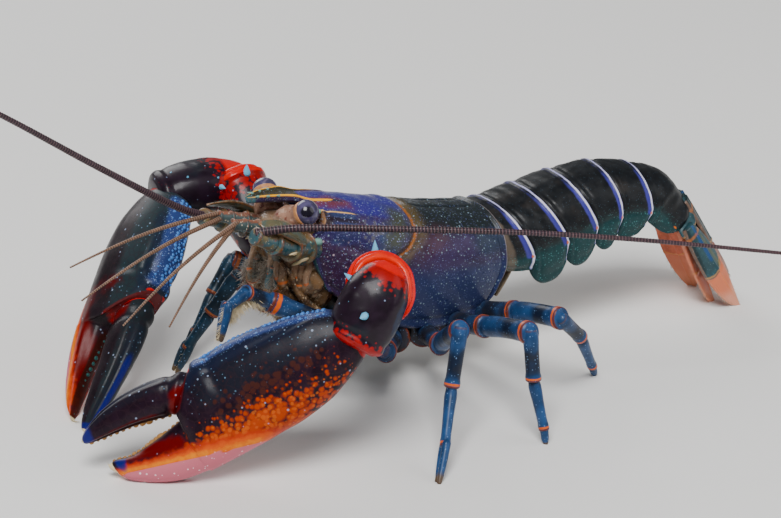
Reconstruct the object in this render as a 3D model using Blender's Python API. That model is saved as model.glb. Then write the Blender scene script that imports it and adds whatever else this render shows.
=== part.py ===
"""A male Cherax alyciae, a crayfish of West Papuan creeks, as a still life-size model.

The head points along -X, the animal's left side faces -Y, and the floor is z = 0.
Sizes are millimetres, and MM turns them into metres when a mesh is made.
"""
import math

import bpy
import bmesh
from mathutils import Matrix, Vector

MM = 0.001
GAP = 0.3                             # between the faces of touching nodes
ORIGIN = Vector((-39.3, -4.35, 0.0))   # floor point under the middle of the whole model

# Carapace, along x from its rear edge on the back (x = 0) to the rostrum's tip
CARAPACE_TOP = [(-43, 39.6), (-36, 38.4), (-27, 35.9), (-18, 33.0), (-9, 30.6), (1, 28.6)]
CARAPACE_FLOOR = [(-43, 27.0), (-37, 21.5), (-30, 15.5), (-21, 11.3), (-13, 10.1), (-6, 10.2), (1, 13.0)]
CARAPACE_WAIST = [(-43, 31.5), (-30, 25.5), (-15, 21.0), (1, 20.5)]
CARAPACE_HALF = [(-43, 7.6), (-36, 9.0), (-27, 10.6), (-16, 11.8), (-8, 11.7), (-2, 10.8), (1, 10.2)]
ROSTRUM_TIP = Vector((-50.2, 0.0, 40.6))
ROSTRUM_ROOT = Vector((-33.0, 0.0, 37.6))
ROSTRUM_HALF = 3.5
ROSTRUM_TEETH = 3

# Elevation round the shell in degrees, with the x of the groove, rear edge and front edge there
GROOVE_X = [(-50, -33.5), (-20, -30.5), (5, -27.0), (28, -21.5), (48, -19.0), (90, -18.0)]
REAR_X = [(-50, -5.0), (-30, -1.6), (-5, 0.7), (40, 0.8), (90, 0.3)]
FRONT_X = [(-50, -38.4), (-25, -40.6), (0, -41.8), (14, -42.2), (30, -39.6), (45, -38.2), (62, -39.4),
           (90, -42.0)]
SHELL_LOW_ANGLE = -50.0
SHELL_POINTS = 19

# Abdomen: the line of its back, and each ring's half width, arch height and side plate drop
BACK_LINE = [(-3.0, 0.0, 28.0), (3.4, 0.0, 28.5), (11.2, -0.4, 29.6), (19.1, -1.2, 30.9),
             (27.4, -2.6, 31.6), (35.0, -4.2, 30.4), (42.1, -5.7, 27.8), (46.8, -7.0, 21.6)]
RING_ENDS = (0.0, 0.143, 0.286, 0.429, 0.571, 0.714, 1.0)
RING_HALF = (9.3, 10.4, 10.3, 9.8, 9.2, 8.4, 6.8)
RING_ARCH = (8.4, 9.2, 9.2, 8.8, 8.0, 7.0, 5.6)
PLATE_DROP = (3.2, 7.4, 6.8, 6.2, 5.4, 3.4)
PLATE_SWEEP = 3.0
PLATE_THICK = 1.1
ARCH_POINTS = 8

# Tail fan
FAN_ROOT = Vector((46.0, -7.0, 20.8))
FAN_DOWN = Vector((0.52, -0.12, -0.84)).normalized()
FAN_LEFT = Vector((-0.24, -0.97, 0.0)).normalized()
TELSON_LENGTH = 21.0
BLADE_THICK = 1.1

# Chelipeds (the first pair of legs): joints from the body to the claw, left then right
CLAW_LENGTH = 49.0
CLAW_WIDTH = 18.4
CLAW_THICK = 11.0

LEG_SIDES = 7
LEG_THICK = 1.72


# Small helpers
def clear_scene():
    """Remove every object and mesh that the file starts with."""
    for obj in list(bpy.data.objects):
        bpy.data.objects.remove(obj, do_unlink=True)


def profile(keys, x):
    """Smooth value at x of a curve through (x, value) keys, without overshoot."""
    if x <= keys[0][0]:
        return keys[0][1]
    if x >= keys[-1][0]:
        return keys[-1][1]
    xs = [k[0] for k in keys]
    ys = [k[1] for k in keys]
    chords = [(ys[i + 1] - ys[i]) / (xs[i + 1] - xs[i]) for i in range(len(xs) - 1)]
    slopes = [chords[0]]
    for before, after in zip(chords, chords[1:]):
        same = before * after > 0.0
        slopes.append(2.0 * before * after / (before + after) if same else 0.0)
    slopes.append(chords[-1])
    i = max(j for j in range(len(xs) - 1) if xs[j] <= x)
    span = xs[i + 1] - xs[i]
    t = (x - xs[i]) / span
    rise = (2 * t ** 3 - 3 * t ** 2 + 1) * ys[i] + (3 * t ** 2 - 2 * t ** 3) * ys[i + 1]
    lean = (t ** 3 - 2 * t ** 2 + t) * slopes[i] + (t ** 3 - t ** 2) * slopes[i + 1]
    return rise + span * lean


def mix(a, b, t):
    """Straight blend from a to b."""
    return a + (b - a) * t


def spline(points, t):
    """Catmull-Rom point at t in 0..1 through the points, taken as evenly spaced."""
    pts = [Vector(p) for p in points]
    n = len(pts) - 1
    i = min(int(t * n), n - 1)
    f = t * n - i
    p1 = pts[i]
    p2 = pts[i + 1]
    p0 = pts[i - 1] if i > 0 else p1 * 2.0 - p2
    p3 = pts[i + 2] if i + 2 <= n else p2 * 2.0 - p1
    return 0.5 * (2.0 * p1 + (p2 - p0) * f + (2.0 * p0 - 5.0 * p1 + 4.0 * p2 - p3) * f * f
                  + (3.0 * p1 - p0 - 3.0 * p2 + p3) * f ** 3)


def power(value, exponent):
    """Signed power, for superellipse sections."""
    return math.copysign(abs(value) ** exponent, value)


def material(name, rgb, roughness=0.35, metallic=0.0):
    """A Principled material of one colour."""
    mat = bpy.data.materials.new(name)
    mat.use_nodes = True
    shader = mat.node_tree.nodes["Principled BSDF"]
    shader.inputs["Base Color"].default_value = (*rgb, 1.0)
    shader.inputs["Roughness"].default_value = roughness
    shader.inputs["Metallic"].default_value = metallic
    return mat


def largest_piece(bm):
    """Keep the piece with the most vertices and drop slivers that a cut has freed."""
    todo = set(bm.verts)
    pieces = []
    while todo:
        stack = [todo.pop()]
        piece = set(stack)
        while stack:
            for edge in stack.pop().link_edges:
                for vert in edge.verts:
                    if vert not in piece:
                        piece.add(vert)
                        todo.discard(vert)
                        stack.append(vert)
        pieces.append(piece)
    pieces.sort(key=len, reverse=True)
    for piece in pieces[1:]:
        bmesh.ops.delete(bm, geom=list(piece), context="VERTS")


def finish_mesh(bm, name, mat):
    """Make an object of the bmesh, in metres from the model's origin, faces outward."""
    bmesh.ops.remove_doubles(bm, verts=bm.verts, dist=0.002)
    bmesh.ops.triangulate(bm, faces=bm.faces)
    bmesh.ops.recalc_face_normals(bm, faces=bm.faces)
    for vert in bm.verts:
        vert.co = (vert.co - ORIGIN) * MM
    mesh = bpy.data.meshes.new(name)
    bm.to_mesh(mesh)
    bm.free()
    obj = bpy.data.objects.new(name, mesh)
    bpy.context.scene.collection.objects.link(obj)
    mesh.materials.append(mat)
    return obj


def skin(rings, start=None, end=None):
    """Closed bmesh through rings of equal counts; each end is a fan to a pole vertex."""
    bm = bmesh.new()
    loops = [[bm.verts.new(p) for p in ring] for ring in rings]
    count = len(rings[0])
    for a, b in zip(loops, loops[1:]):
        for i in range(count):
            j = (i + 1) % count
            bm.faces.new((a[i], a[j], b[j], b[i]))
    for loop, ring, pole in ((loops[0], rings[0], start), (loops[-1], rings[-1], end)):
        centre = sum(ring, Vector()) / count if pole is None else Vector(pole)
        hub = bm.verts.new(centre)
        for i in range(count):
            bm.faces.new((loop[i], loop[(i + 1) % count], hub))
    return bm


def oval(centre, across, upward, half_across, half_up, sides, square=1.0, turn=0.0):
    """Ring of points: a superellipse in the plane of two unit directions."""
    ring = []
    for i in range(sides):
        angle = 2.0 * math.pi * (i + turn) / sides
        ring.append(centre + across * (half_across * power(math.cos(angle), square))
                    + upward * (half_up * power(math.sin(angle), square)))
    return ring


def cross_frame(direction, up):
    """Unit vectors across and upward, at right angles to a direction."""
    across = direction.cross(up).normalized()
    return across, across.cross(direction).normalized()


def cut(bm, point, normal):
    """Cut the bmesh by a plane, keep the side behind the normal, and close it flat."""
    geom = list(bm.verts) + list(bm.edges) + list(bm.faces)
    result = bmesh.ops.bisect_plane(bm, geom=geom, dist=1e-5, plane_co=point, plane_no=normal,
                                    clear_outer=True)
    edges = [e for e in result["geom_cut"] if isinstance(e, bmesh.types.BMEdge)]
    if edges:
        bmesh.ops.holes_fill(bm, edges=[e for e in bm.edges if e.is_boundary], sides=0)


def is_closed(mesh):
    """True when every edge has two faces."""
    bm = bmesh.new()
    bm.from_mesh(mesh)
    closed = len(bm.faces) > 0 and all(len(e.link_faces) == 2 for e in bm.edges)
    bm.free()
    return closed


def run_boolean(obj, operation, operand):
    """Apply one Boolean with an object or a collection; MANIFOLD steps in where EXACT leaves a hole."""
    before = obj.data
    for solver, tidy in (("EXACT", True), ("EXACT", False), ("MANIFOLD", True), ("MANIFOLD", False)):
        modifier = obj.modifiers.new("join", "BOOLEAN")
        modifier.operation = operation
        modifier.solver = solver
        if isinstance(operand, bpy.types.Collection):
            modifier.operand_type = "COLLECTION"
            modifier.collection = operand
        else:
            modifier.object = operand
        bpy.context.view_layer.update()
        graph = bpy.context.evaluated_depsgraph_get()
        result = bpy.data.meshes.new_from_object(obj.evaluated_get(graph))
        obj.modifiers.remove(modifier)
        bm = bmesh.new()
        bm.from_mesh(result)
        if tidy:
            bmesh.ops.remove_doubles(bm, verts=bm.verts, dist=0.002 * MM)
            bmesh.ops.dissolve_degenerate(bm, edges=bm.edges, dist=0.001 * MM)
        largest_piece(bm)
        bmesh.ops.triangulate(bm, faces=bm.faces)
        bm.to_mesh(result)
        bm.free()
        if is_closed(result):
            break
    result.name = obj.name
    obj.data = result
    bpy.data.meshes.remove(before)


def fuse(obj, bits):
    """Join closed bmesh bits to a node by one Boolean union on their collection."""
    if not bits:
        return obj
    group = bpy.data.collections.new("bits")
    bpy.context.scene.collection.children.link(group)
    made = []
    for index, bm in enumerate(bits):
        bit = finish_mesh(bm, f"bit_{index}", obj.data.materials[0])
        bpy.context.scene.collection.objects.unlink(bit)
        group.objects.link(bit)
        made.append(bit)
    run_boolean(obj, "UNION", group)
    for bit in made:
        bpy.data.objects.remove(bit, do_unlink=True)
    bpy.data.collections.remove(group)
    return obj


def clean(obj):
    """Merge points closer than a few hundredths of a millimetre, as long as the node stays closed."""
    for reach in (0.04, 0.025, 0.015, 0.008, 0.004):
        bm = bmesh.new()
        bm.from_mesh(obj.data)
        bmesh.ops.remove_doubles(bm, verts=bm.verts, dist=reach * MM)
        bmesh.ops.dissolve_degenerate(bm, edges=bm.edges, dist=0.4 * reach * MM)
        bmesh.ops.triangulate(bm, faces=bm.faces)
        largest_piece(bm)
        mesh = bpy.data.meshes.new(obj.name)
        bm.to_mesh(mesh)
        bm.free()
        if is_closed(mesh):
            mesh.materials.append(obj.data.materials[0])
            obj.data = mesh
            return
        bpy.data.meshes.remove(mesh)


def seat(obj, *hosts, gap=GAP):
    """Trim a node's root to the skin of each host, leaving the gap between their faces."""
    for host in hosts:
        bm = bmesh.new()
        bm.from_mesh(host.data)
        bm.normal_update()
        moves = [vert.normal * gap * MM for vert in bm.verts]
        for vert, move in zip(bm.verts, moves):
            vert.co += move
        mesh = bpy.data.meshes.new("cutter")
        bm.to_mesh(mesh)
        bm.free()
        cutter = bpy.data.objects.new("cutter", mesh)
        bpy.context.scene.collection.objects.link(cutter)
        run_boolean(obj, "DIFFERENCE", cutter)
        bpy.data.objects.remove(cutter, do_unlink=True)
        bpy.data.meshes.remove(mesh)
    return obj


def cone_bit(root, direction, length, radius, sides=5, sink=0.6):
    """A spine: a closed cone with its root sunk into what carries it."""
    direction = direction.normalized()
    across, upward = cross_frame(direction, Vector((0.31, 0.17, 0.93)))
    rings = [oval(root - direction * sink, across, upward, radius, radius, sides),
             oval(root + direction * length * 0.35, across, upward, radius * 0.8, radius * 0.8, sides)]
    return skin(rings, end=root + direction * length)


def bump_bit(centre, radius, direction):
    """A round tubercle: four twisted sides and a low pole."""
    across, upward = cross_frame(direction.normalized(), Vector((0.31, 0.17, 0.93)))
    direction = direction.normalized()
    rings = [oval(centre - direction * radius * 0.7, across, upward, radius * 0.75, radius * 0.75, 4),
             oval(centre, across, upward, radius, radius, 4, turn=0.5)]
    return skin(rings, start=centre - direction * radius, end=centre + direction * radius * 0.8)


# Carapace
def shell_point(x, angle):
    """Point of the carapace at station x; the angle is degrees, 0 left side, 90 back, 180 right."""
    rad = math.radians(angle)
    low = math.radians(SHELL_LOW_ANGLE)
    top = profile(CARAPACE_TOP, x)
    floor = profile(CARAPACE_FLOOR, x)
    waist = profile(CARAPACE_WAIST, x)
    half = profile(CARAPACE_HALF, x)
    rise = math.sin(rad)
    if rise >= 0.0:
        return Vector((x, -half * power(math.cos(rad), 0.88), waist + (top - waist) * rise ** 0.96))
    y = -half * power(math.cos(rad), 0.42)
    return Vector((x, y, waist + (waist - floor) * rise / abs(math.sin(low))))


def shell_angles():
    """Angles round the shell from the left lower edge over the back to the right lower edge."""
    span = 180.0 - 2.0 * SHELL_LOW_ANGLE
    return [SHELL_LOW_ANGLE + span * i / (SHELL_POINTS - 1) for i in range(SHELL_POINTS)]


def shell_edge(keys, angle):
    """The x of an edge of the shell at an angle, the same on both sides."""
    return profile(keys, angle if angle <= 90.0 else 180.0 - angle)


def shell_ring(front, rear, t, front_shift=0.0, pinch=0.0):
    """Ring between two edges of the shell, at the share t of the way, drawn in by the pinch."""
    ring = []
    for angle in shell_angles():
        x = mix(shell_edge(front, angle) + front_shift, shell_edge(rear, angle), t)
        point = shell_point(x, angle)
        middle = Vector((x, 0.0, profile(CARAPACE_WAIST, x)))
        ring.append(middle + (point - middle) * (1.0 - pinch))
    return ring


def carapace_thorax(mat):
    """Rear part of the carapace, behind the cervical groove."""
    steps = [(0.0, 0.045), (0.03, 0.02), (0.08, 0.0), (0.22, 0.0), (0.4, 0.0), (0.58, 0.0), (0.75, 0.0),
             (0.88, 0.0), (0.95, 0.0), (0.975, 0.012), (1.0, 0.05)]
    rings = [shell_ring(GROOVE_X, REAR_X, t, pinch=pinch) for t, pinch in steps]
    bm = skin(rings, start=Vector((-24.0, 0.0, 24.0)), end=Vector((-1.0, 0.0, 21.0)))
    return finish_mesh(bm, "carapace_thorax", mat)


def rostrum_bit():
    """The rostrum: a flat blade with two raised edges that run back onto the head."""
    rings = []
    for t in (0.0, 0.14, 0.3, 0.5, 0.7, 0.86, 0.97):
        centre = mix(ROSTRUM_ROOT, ROSTRUM_TIP, t) + Vector((0.0, 0.0, 1.1 * math.sin(math.pi * t) * 0.6))
        half = ROSTRUM_HALF * profile([(0.0, 0.95), (0.3, 1.0), (0.7, 0.66), (0.9, 0.36), (1.0, 0.12)], t)
        keel = 0.62 * profile([(0.0, 0.15), (0.25, 1.0), (0.8, 0.9), (1.0, 0.3)], t)
        deep = profile([(0.0, 3.0), (0.4, 2.2), (1.0, 0.8)], t)
        outline = [(-1.0, 0.1), (-0.95, keel), (-0.78, keel), (-0.6, 0.0), (0.0, -0.1), (0.6, 0.0),
                   (0.78, keel), (0.95, keel), (1.0, 0.1), (0.62, -deep * 0.75), (0.0, -deep),
                   (-0.62, -deep * 0.75)]
        rings.append([centre + Vector((0.0, half * y, z)) for y, z in outline])
    return skin(rings, end=ROSTRUM_TIP + Vector((-0.5, 0.0, -0.3)))


def carapace_head(mat):
    """Front part of the carapace with the rostrum, its teeth, and the ridges behind the eyes."""
    steps = [(0.0, 0.05), (0.04, 0.01), (0.14, 0.0), (0.3, 0.0), (0.5, 0.0), (0.7, 0.0), (0.86, 0.0),
             (0.95, 0.02),
             (1.0, 0.045)]
    rear = [(angle, x - GAP) for angle, x in GROOVE_X]
    rings = [shell_ring(FRONT_X, rear, t, pinch=pinch) for t, pinch in steps]
    bm = skin(rings, start=Vector((-38.0, 0.0, 31.0)), end=Vector((-24.0 - GAP, 0.0, 24.0)))
    head = finish_mesh(bm, "carapace_head", mat)
    bits = [rostrum_bit()]
    for side in (-1.0, 1.0):
        for i in range(ROSTRUM_TEETH):
            t = 0.68 + 0.11 * i
            half = ROSTRUM_HALF * profile([(0.0, 0.95), (0.3, 1.0), (0.7, 0.66), (0.9, 0.36), (1.0, 0.12)], t)
            root = mix(ROSTRUM_ROOT, ROSTRUM_TIP, t) + Vector((0.0, side * half * 0.85, 1.0))
            bits.append(cone_bit(root, Vector((-0.9, side * 0.35, 0.45)), 1.1, 0.42, sides=4, sink=0.5))
        ridge = [shell_point(x, 90.0 - side * 38.0) + Vector((0.0, side * 0.05, 0.1))
                 for x in (-38.6, -37.0, -34.0, -31.0)]
        rings = []
        for point, size in zip(ridge, (0.35, 0.75, 0.7, 0.3)):
            rings.append(oval(point, Vector((0, 1, 0)), Vector((0, 0, 1)), size, size, 6))
        bits.append(skin(rings, start=ridge[0] + Vector((-1.3, 0.0, 0.3))))
        cheek = shell_point(-41.6, 90.0 - side * 76.0)
        bits.append(cone_bit(cheek + Vector((1.0, -side * 0.6, 0.0)), Vector((-1.0, side * 0.1, 0.12)),
                             2.2, 0.8))
    return fuse(head, bits)


def underbody(mat):
    """The breast plates between the legs, filling the space under the carapace."""
    rings = []
    for x in (-37.0, -35.5, -31.0, -25.0, -18.0, -11.0, -5.0, -0.5, 1.2):
        top = profile(CARAPACE_FLOOR, x) - GAP - 0.05
        deep = profile([(-37, 3.2), (-30, 4.6), (-20, 5.0), (-8, 4.4), (1.2, 3.6)], x)
        half = profile([(-37, 3.6), (-34, 5.2), (-25, 6.6), (-10, 7.0), (-3, 6.0), (1.2, 4.6)], x)
        outline = [(-1.0, 0.0), (-1.0, -0.5), (-0.72, -0.92), (0.0, -1.0), (0.72, -0.92), (1.0, -0.5),
                   (1.0, 0.0),
                   (0.0, 0.0)]
        rings.append([Vector((x, half * y, top + deep * z)) for y, z in outline])
    bm = skin(rings)
    return finish_mesh(bm, "underbody", mat)


# Generic limb
def limb_bm(points, halves, sides, up, flat=1.0, collar=0.14, square=1.0, tip=None):
    """Limb of straight articles between points, each with a narrow root and a flared rim.

    halves gives each article's half widths at its root and end; flat is depth over width.
    """
    pts = [Vector(p) for p in points]
    rings = []
    last = len(pts) - 2
    for i in range(len(pts) - 1):
        along = pts[i + 1] - pts[i]
        wide = halves[i]
        stations = [(0.0, 1.0 - collar), (0.16, 1.0), (0.86, 1.0), (1.0, 1.0 + collar)]
        if i == last and tip is not None:
            stations = [(0.0, 1.0 - collar), (0.2, 1.0), (0.6, 1.0), (1.0, 1.0)]
        for t, swell in stations:
            before = pts[i] - pts[i - 1] if i > 0 else along
            after = pts[i + 2] - pts[i + 1] if i < last else along
            direction = along.normalized()
            if t == 0.0:
                direction = (before.normalized() + along.normalized()).normalized()
            if t == 1.0:
                direction = (along.normalized() + after.normalized()).normalized()
            across, upward = cross_frame(direction, up)
            half = mix(wide[0], wide[1], t) * swell
            nudge = 0.02 if t == 0.0 else (-0.02 if t == 1.0 else 0.0)
            centre = pts[i] + along * (t + nudge)
            rings.append(oval(centre, across, upward, half, half * flat, sides, square))
    return skin(rings, end=tip)


def joint_plane(before, joint, after):
    """Point and normal of the plane that halves the bend at a joint."""
    into = (Vector(joint) - Vector(before)).normalized()
    out = (Vector(after) - Vector(joint)).normalized()
    return Vector(joint), (into + out).normalized()


def floor_cut(bm):
    """Flatten what reaches below the floor."""
    if min(vert.co.z for vert in bm.verts) < 0.0:
        cut(bm, Vector((0, 0, 0)), Vector((0, 0, -1)))


# Walking legs
# Joints of each leg: root in the body, end of ischium, knee, end of carpus, end of propodus, foot.
LEGS = {
    "leg2_left": [(-21.0, -4.6, 8.8), (-30.0, -14.2, 10.8), (-49.7, -5.7, 22.6), (-55.4, -7.6, 26.4),
                  (-60.8, -9.7, 25.4), (-63.0, -10.7, 20.0)],
    "leg3_left": [(-15.5, -4.0, 8.4), (-20.6, -18.0, 11.2), (-27.7, -33.6, 21.4), (-30.6, -35.2, 12.0),
                  (-36.5, -41.3, 4.4), (-40.4, -44.7, -0.4)],
    "leg4_left": [(-10.2, -4.0, 8.4), (-13.8, -22.5, 14.6), (-16.0, -38.6, 19.7), (-16.2, -40.0, 11.3),
                  (-15.9, -43.0, 2.6), (-15.8, -43.5, -0.4)],
    "leg5_left": [(-4.8, -3.6, 8.8), (-5.0, -20.0, 14.4), (-4.0, -32.4, 17.2), (2.4, -30.2, 11.2),
                  (8.2, -27.0, 2.4), (9.8, -26.0, -0.4)],
    "leg2_right": [(-21.0, 4.6, 8.8), (-30.0, 14.0, 11.0), (-48.0, 8.5, 21.5), (-52.0, 10.5, 15.0),
                   (-56.0, 13.0, 8.0), (-58.0, 14.2, 3.2)],
    "leg3_right": [(-15.5, 4.0, 8.4), (-22.0, 18.0, 9.8), (-38.0, 26.2, 17.0), (-42.8, 25.4, 11.4),
                   (-48.0, 23.6, 5.2), (-51.6, 23.0, -0.4)],
    "leg4_right": [(-10.2, 4.0, 8.4), (-14.6, 19.0, 14.6), (-17.0, 34.0, 20.8), (-15.6, 37.6, 11.6),
                   (-14.4, 40.6, 3.0), (-14.0, 41.2, -0.4)],
    "leg5_right": [(-4.8, 3.6, 8.8), (-4.0, 18.0, 14.0), (-2.0, 29.4, 18.0), (4.0, 28.6, 10.8),
                   (9.0, 27.4, 2.6), (10.4, 27.0, -0.4)],
}


def walking_leg(name, blue, tip_blue):
    """Two nodes of a walking leg, cut face to face at the knee."""
    joints = [Vector(p) for p in LEGS[name]]
    chelate = "leg2" in name or "leg3" in name
    thick = LEG_THICK * (1.06 if "leg4" in name or "leg5" in name else 1.0)
    point, normal = joint_plane(joints[1], joints[2], joints[3])
    up = Vector((0, 0, 1))
    upper_end = joints[2] + (joints[2] - joints[1]).normalized() * 1.5
    upper = limb_bm([joints[0], joints[1], upper_end], [(2.2, 1.7), (thick, thick)], LEG_SIDES, up, flat=1.08)
    cut(upper, point - normal * GAP * 0.5, normal)
    upper_obj = finish_mesh(upper, f"{name}_upper", blue)

    lower_start = joints[2] - (joints[3] - joints[2]).normalized() * 1.5
    ahead = (joints[5] - joints[4]).normalized()
    side_up = Vector((1.0, 0.0, 0.2))
    lower = limb_bm([lower_start, joints[3], joints[4]], [(1.5, 1.36), (1.24, 0.95)], LEG_SIDES, side_up,
                    flat=0.9, collar=0.1)
    cut(lower, point + normal * GAP * 0.5, -normal)
    lower_obj = finish_mesh(lower, f"{name}_lower", tip_blue)
    bits = []
    spread = ahead.cross(side_up).normalized() * (0.62 if chelate else 0.0)
    for sign in ((-1.0, 1.0) if chelate else (1.0,)):
        start = joints[4] - ahead * 1.2 + spread * sign
        finger = [(start, 0.75), (joints[4] + ahead * 1.4 + spread * sign * 1.25, 0.7),
                  (mix(joints[4], joints[5], 0.75) + spread * sign, 0.5),
                  (joints[5] + spread * sign * 0.85, 0.42)]
        rings = []
        for centre, half in finger:
            across, upward = cross_frame(ahead, side_up)
            rings.append(oval(centre, across, upward, half, half, 5))
        bm = skin(rings)
        floor_cut(bm)
        bits.append(bm)
    return upper_obj, fuse(lower_obj, bits)


# Chelipeds
CHELIPED = {
    "left": {
        "coxa": Vector((-27.0, -4.0, 11.6)), "ischium": Vector((-36.0, -16.0, 19.5)),
        "merus": Vector((-42.0, -30.0, 32.0)), "wrist": Vector((-47.8, -31.5, 25.3)),
        "tip": Vector((-87.0, -9.8, 0.8)), "roll": 0.0, "hinge": 0.585, "gape": 5.0, "notch": (0.46, 0.13),
    },
    "right": {
        "coxa": Vector((-27.0, 4.0, 11.6)), "ischium": Vector((-35.0, 15.5, 19.0)),
        "merus": Vector((-34.5, 30.0, 30.3)), "wrist": Vector((-47.5, 33.0, 30.0)),
        "tip": Vector((-80.0, 11.6, 0.5)), "roll": 50.0, "hinge": 0.47, "gape": -1.0, "notch": (0.46, 0.0),
    },
}
VIEW_SIDE = Vector((-0.456, -0.775, 0.437))     # the side that both claws show their backs to


def claw_frame(side):
    """Unit vectors of a claw: along it, out of its back, and toward its inner edge."""
    pose = CHELIPED[side]
    along = (pose["tip"] - pose["wrist"]).normalized()
    back = (VIEW_SIDE - along * VIEW_SIDE.dot(along)).normalized()
    inner = along.cross(back) * (1.0 if side == "left" else -1.0)
    roll = math.radians(pose["roll"])
    rolled_back = back * math.cos(roll) - inner * math.sin(roll)
    rolled_inner = inner * math.cos(roll) + back * math.sin(roll)
    return along, rolled_back, rolled_inner


INNER_EDGE = [(0.0, 0.2), (0.06, 0.34), (0.2, 0.45), (0.4, 0.52), (0.56, 0.5), (0.6, 0.47)]
OUTER_EDGE = [(0.0, -0.2), (0.08, -0.3), (0.2, -0.42), (0.35, -0.47), (0.55, -0.475), (0.74, -0.44),
              (0.86, -0.34),
              (0.94, -0.22), (1.0, -0.06)]
FINGER_EDGE = [(0.6, 0.14), (0.7, 0.07), (0.78, 0.035), (0.9, 0.01), (1.0, 0.06)]
CLAW_DEPTH = [(0.0, 0.62), (0.1, 0.86), (0.3, 1.0), (0.5, 0.95), (0.65, 0.72), (0.8, 0.52), (0.92, 0.36),
              (1.0, 0.2)]
HINGE_RUN = 0.11      # share of the length over which the hinge line slants
CREST_TUBERCLES = 12


def claw_point(side, s, t, d):
    """Point of a claw from shares of its length and width, and millimetres out of its back."""
    along, back, inner = claw_frame(side)
    return CHELIPED[side]["wrist"] + along * (s * CLAW_LENGTH) + inner * (t * CLAW_WIDTH) + back * d


def palm_rings(side):
    """Rings of the palm and the fixed finger, with a flat slanted face for the moving finger."""
    hinge = CHELIPED[side]["hinge"]
    high, low = CHELIPED[side]["notch"]
    rings = []
    sides = 14
    stations = [0.0, 0.05, 0.13, 0.24, 0.36, 0.47, 0.56, "face", "step", 0.74, 0.82, 0.89, 0.95, 0.985]
    for station in stations:
        if station == "face":
            share = 0.6
        elif station == "step":
            share = 0.575 + HINGE_RUN
        else:
            share = station
        inner = profile(INNER_EDGE, share) if share <= 0.6 else profile(FINGER_EDGE, share) + low - 0.12
        if station == "step":
            inner = low
        outer = profile(OUTER_EDGE, share)
        depth = 0.5 * CLAW_THICK * profile(CLAW_DEPTH, share)
        middle = 0.5 * (inner + outer)
        half = 0.5 * (inner - outer)
        ring = []
        for i in range(sides):
            angle = 2.0 * math.pi * (i + 0.5) / sides
            t = middle + half * power(math.cos(angle), 0.9)
            d = depth * power(math.sin(angle), 0.85) * (1.0 if math.sin(angle) > 0.0 else 0.85)
            reach = share
            if station == "face":
                slant = (high - t) / (high - low)
                reach = 0.575 + HINGE_RUN * min(max(slant, -0.15), 0.93)
            real = reach * hinge / 0.575 if reach <= 0.575 else hinge + (reach - 0.575) * (1 - hinge) / 0.425
            ring.append(claw_point(side, real, t, d))
        rings.append(ring)
    return rings


def palm_node(side, mat, wrist_from):
    """Palm with its fixed finger, the crest of tubercles on its inner edge, and its teeth."""
    along, back, inner = claw_frame(side)
    pose = CHELIPED[side]
    rings = palm_rings(side)
    root = [point - along * 2.0 for point in rings[0]]
    bm = skin([root] + rings, end=claw_point(side, 1.0, 0.07, -0.3))
    point, normal = joint_plane(wrist_from, pose["wrist"], pose["tip"])
    cut(bm, point + normal * GAP * 0.5, -normal)
    floor_cut(bm)
    palm = finish_mesh(bm, f"claw_{side}_palm", mat)
    bits = []
    hinge = pose["hinge"]
    for i in range(CREST_TUBERCLES):
        s = hinge * (0.14 + 0.8 * i / (CREST_TUBERCLES - 1))
        edge = profile(INNER_EDGE, s * 0.575 / hinge)
        lift = 0.8 if i % 2 else -0.5
        bits.append(bump_bit(claw_point(side, s, edge - 0.01, lift), 0.8, inner + back * 0.2 * lift))
    for i in range(7):
        share = 0.725 + 0.036 * i
        s = hinge + (share - 0.575) * (1 - hinge) / 0.425
        edge = profile(FINGER_EDGE, share) + pose["notch"][1] - 0.12
        size = 0.85 if i in (1, 3) else 0.6
        bits.append(bump_bit(claw_point(side, s, edge - 0.005, 0.1), size, inner))
    return fuse(palm, bits)


def dactyl_node(side, mat):
    """The moving finger: flat root on the hinge face, curved to a hooked tip, teeth on its edge."""
    along, back, inner = claw_frame(side)
    pose = CHELIPED[side]
    hinge = pose["hinge"]
    step = (1.0 - hinge) / 0.425
    high, low = pose["notch"]
    upper = claw_point(side, hinge, high, 0.0)
    lower = claw_point(side, hinge + HINGE_RUN * step, low, 0.0)
    face = (upper - lower).normalized()
    out = back.cross(face) * (1.0 if side == "left" else -1.0)
    if out.dot(along) < 0.0:
        out = -out
    middle = (upper + lower) * 0.5
    reach = CLAW_LENGTH * (1.04 - hinge - HINGE_RUN * step * 0.5)
    turn = math.radians(pose["gape"])
    ahead = along * math.cos(turn) + inner * math.sin(turn)
    rings = []
    halves = [(0.0, 3.5, 3.2), (0.12, 3.5, 3.3), (0.3, 3.3, 3.0), (0.55, 2.8, 2.5), (0.75, 2.2, 2.0),
              (0.92, 1.3, 1.3)]
    for t, wide, deep in halves:
        hook = inner * (CLAW_WIDTH * (0.05 * math.sin(math.pi * t) - 0.05 * t ** 3))
        centre = middle + ahead * (reach * t) + hook
        heading = mix(out, ahead, min(t * 3.5, 1.0)).normalized()
        across = back.cross(heading).normalized()
        lift = back * (0.4 * math.sin(math.pi * t))
        rings.append(oval(centre + lift + out * GAP, across, back, wide, deep, 10, 0.95))
    end = middle + ahead * reach - inner * 0.9 + out * GAP
    bm = skin(rings, end=end)
    cut(bm, middle + out * GAP, -out)
    floor_cut(bm)
    finger = finish_mesh(bm, f"claw_{side}_dactyl", mat)
    bits = []
    for i in range(6):
        t = 0.3 + 0.1 * i
        wide = profile([(a, b) for a, b, c in halves], t)
        hook = inner * (CLAW_WIDTH * (0.05 * math.sin(math.pi * t) - 0.05 * t ** 3))
        centre = middle + ahead * (reach * t) + hook - inner * (wide - 0.1) + out * GAP
        bits.append(bump_bit(centre, 0.75 if i == 1 else 0.55, -inner))
    return fuse(finger, bits)


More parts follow.
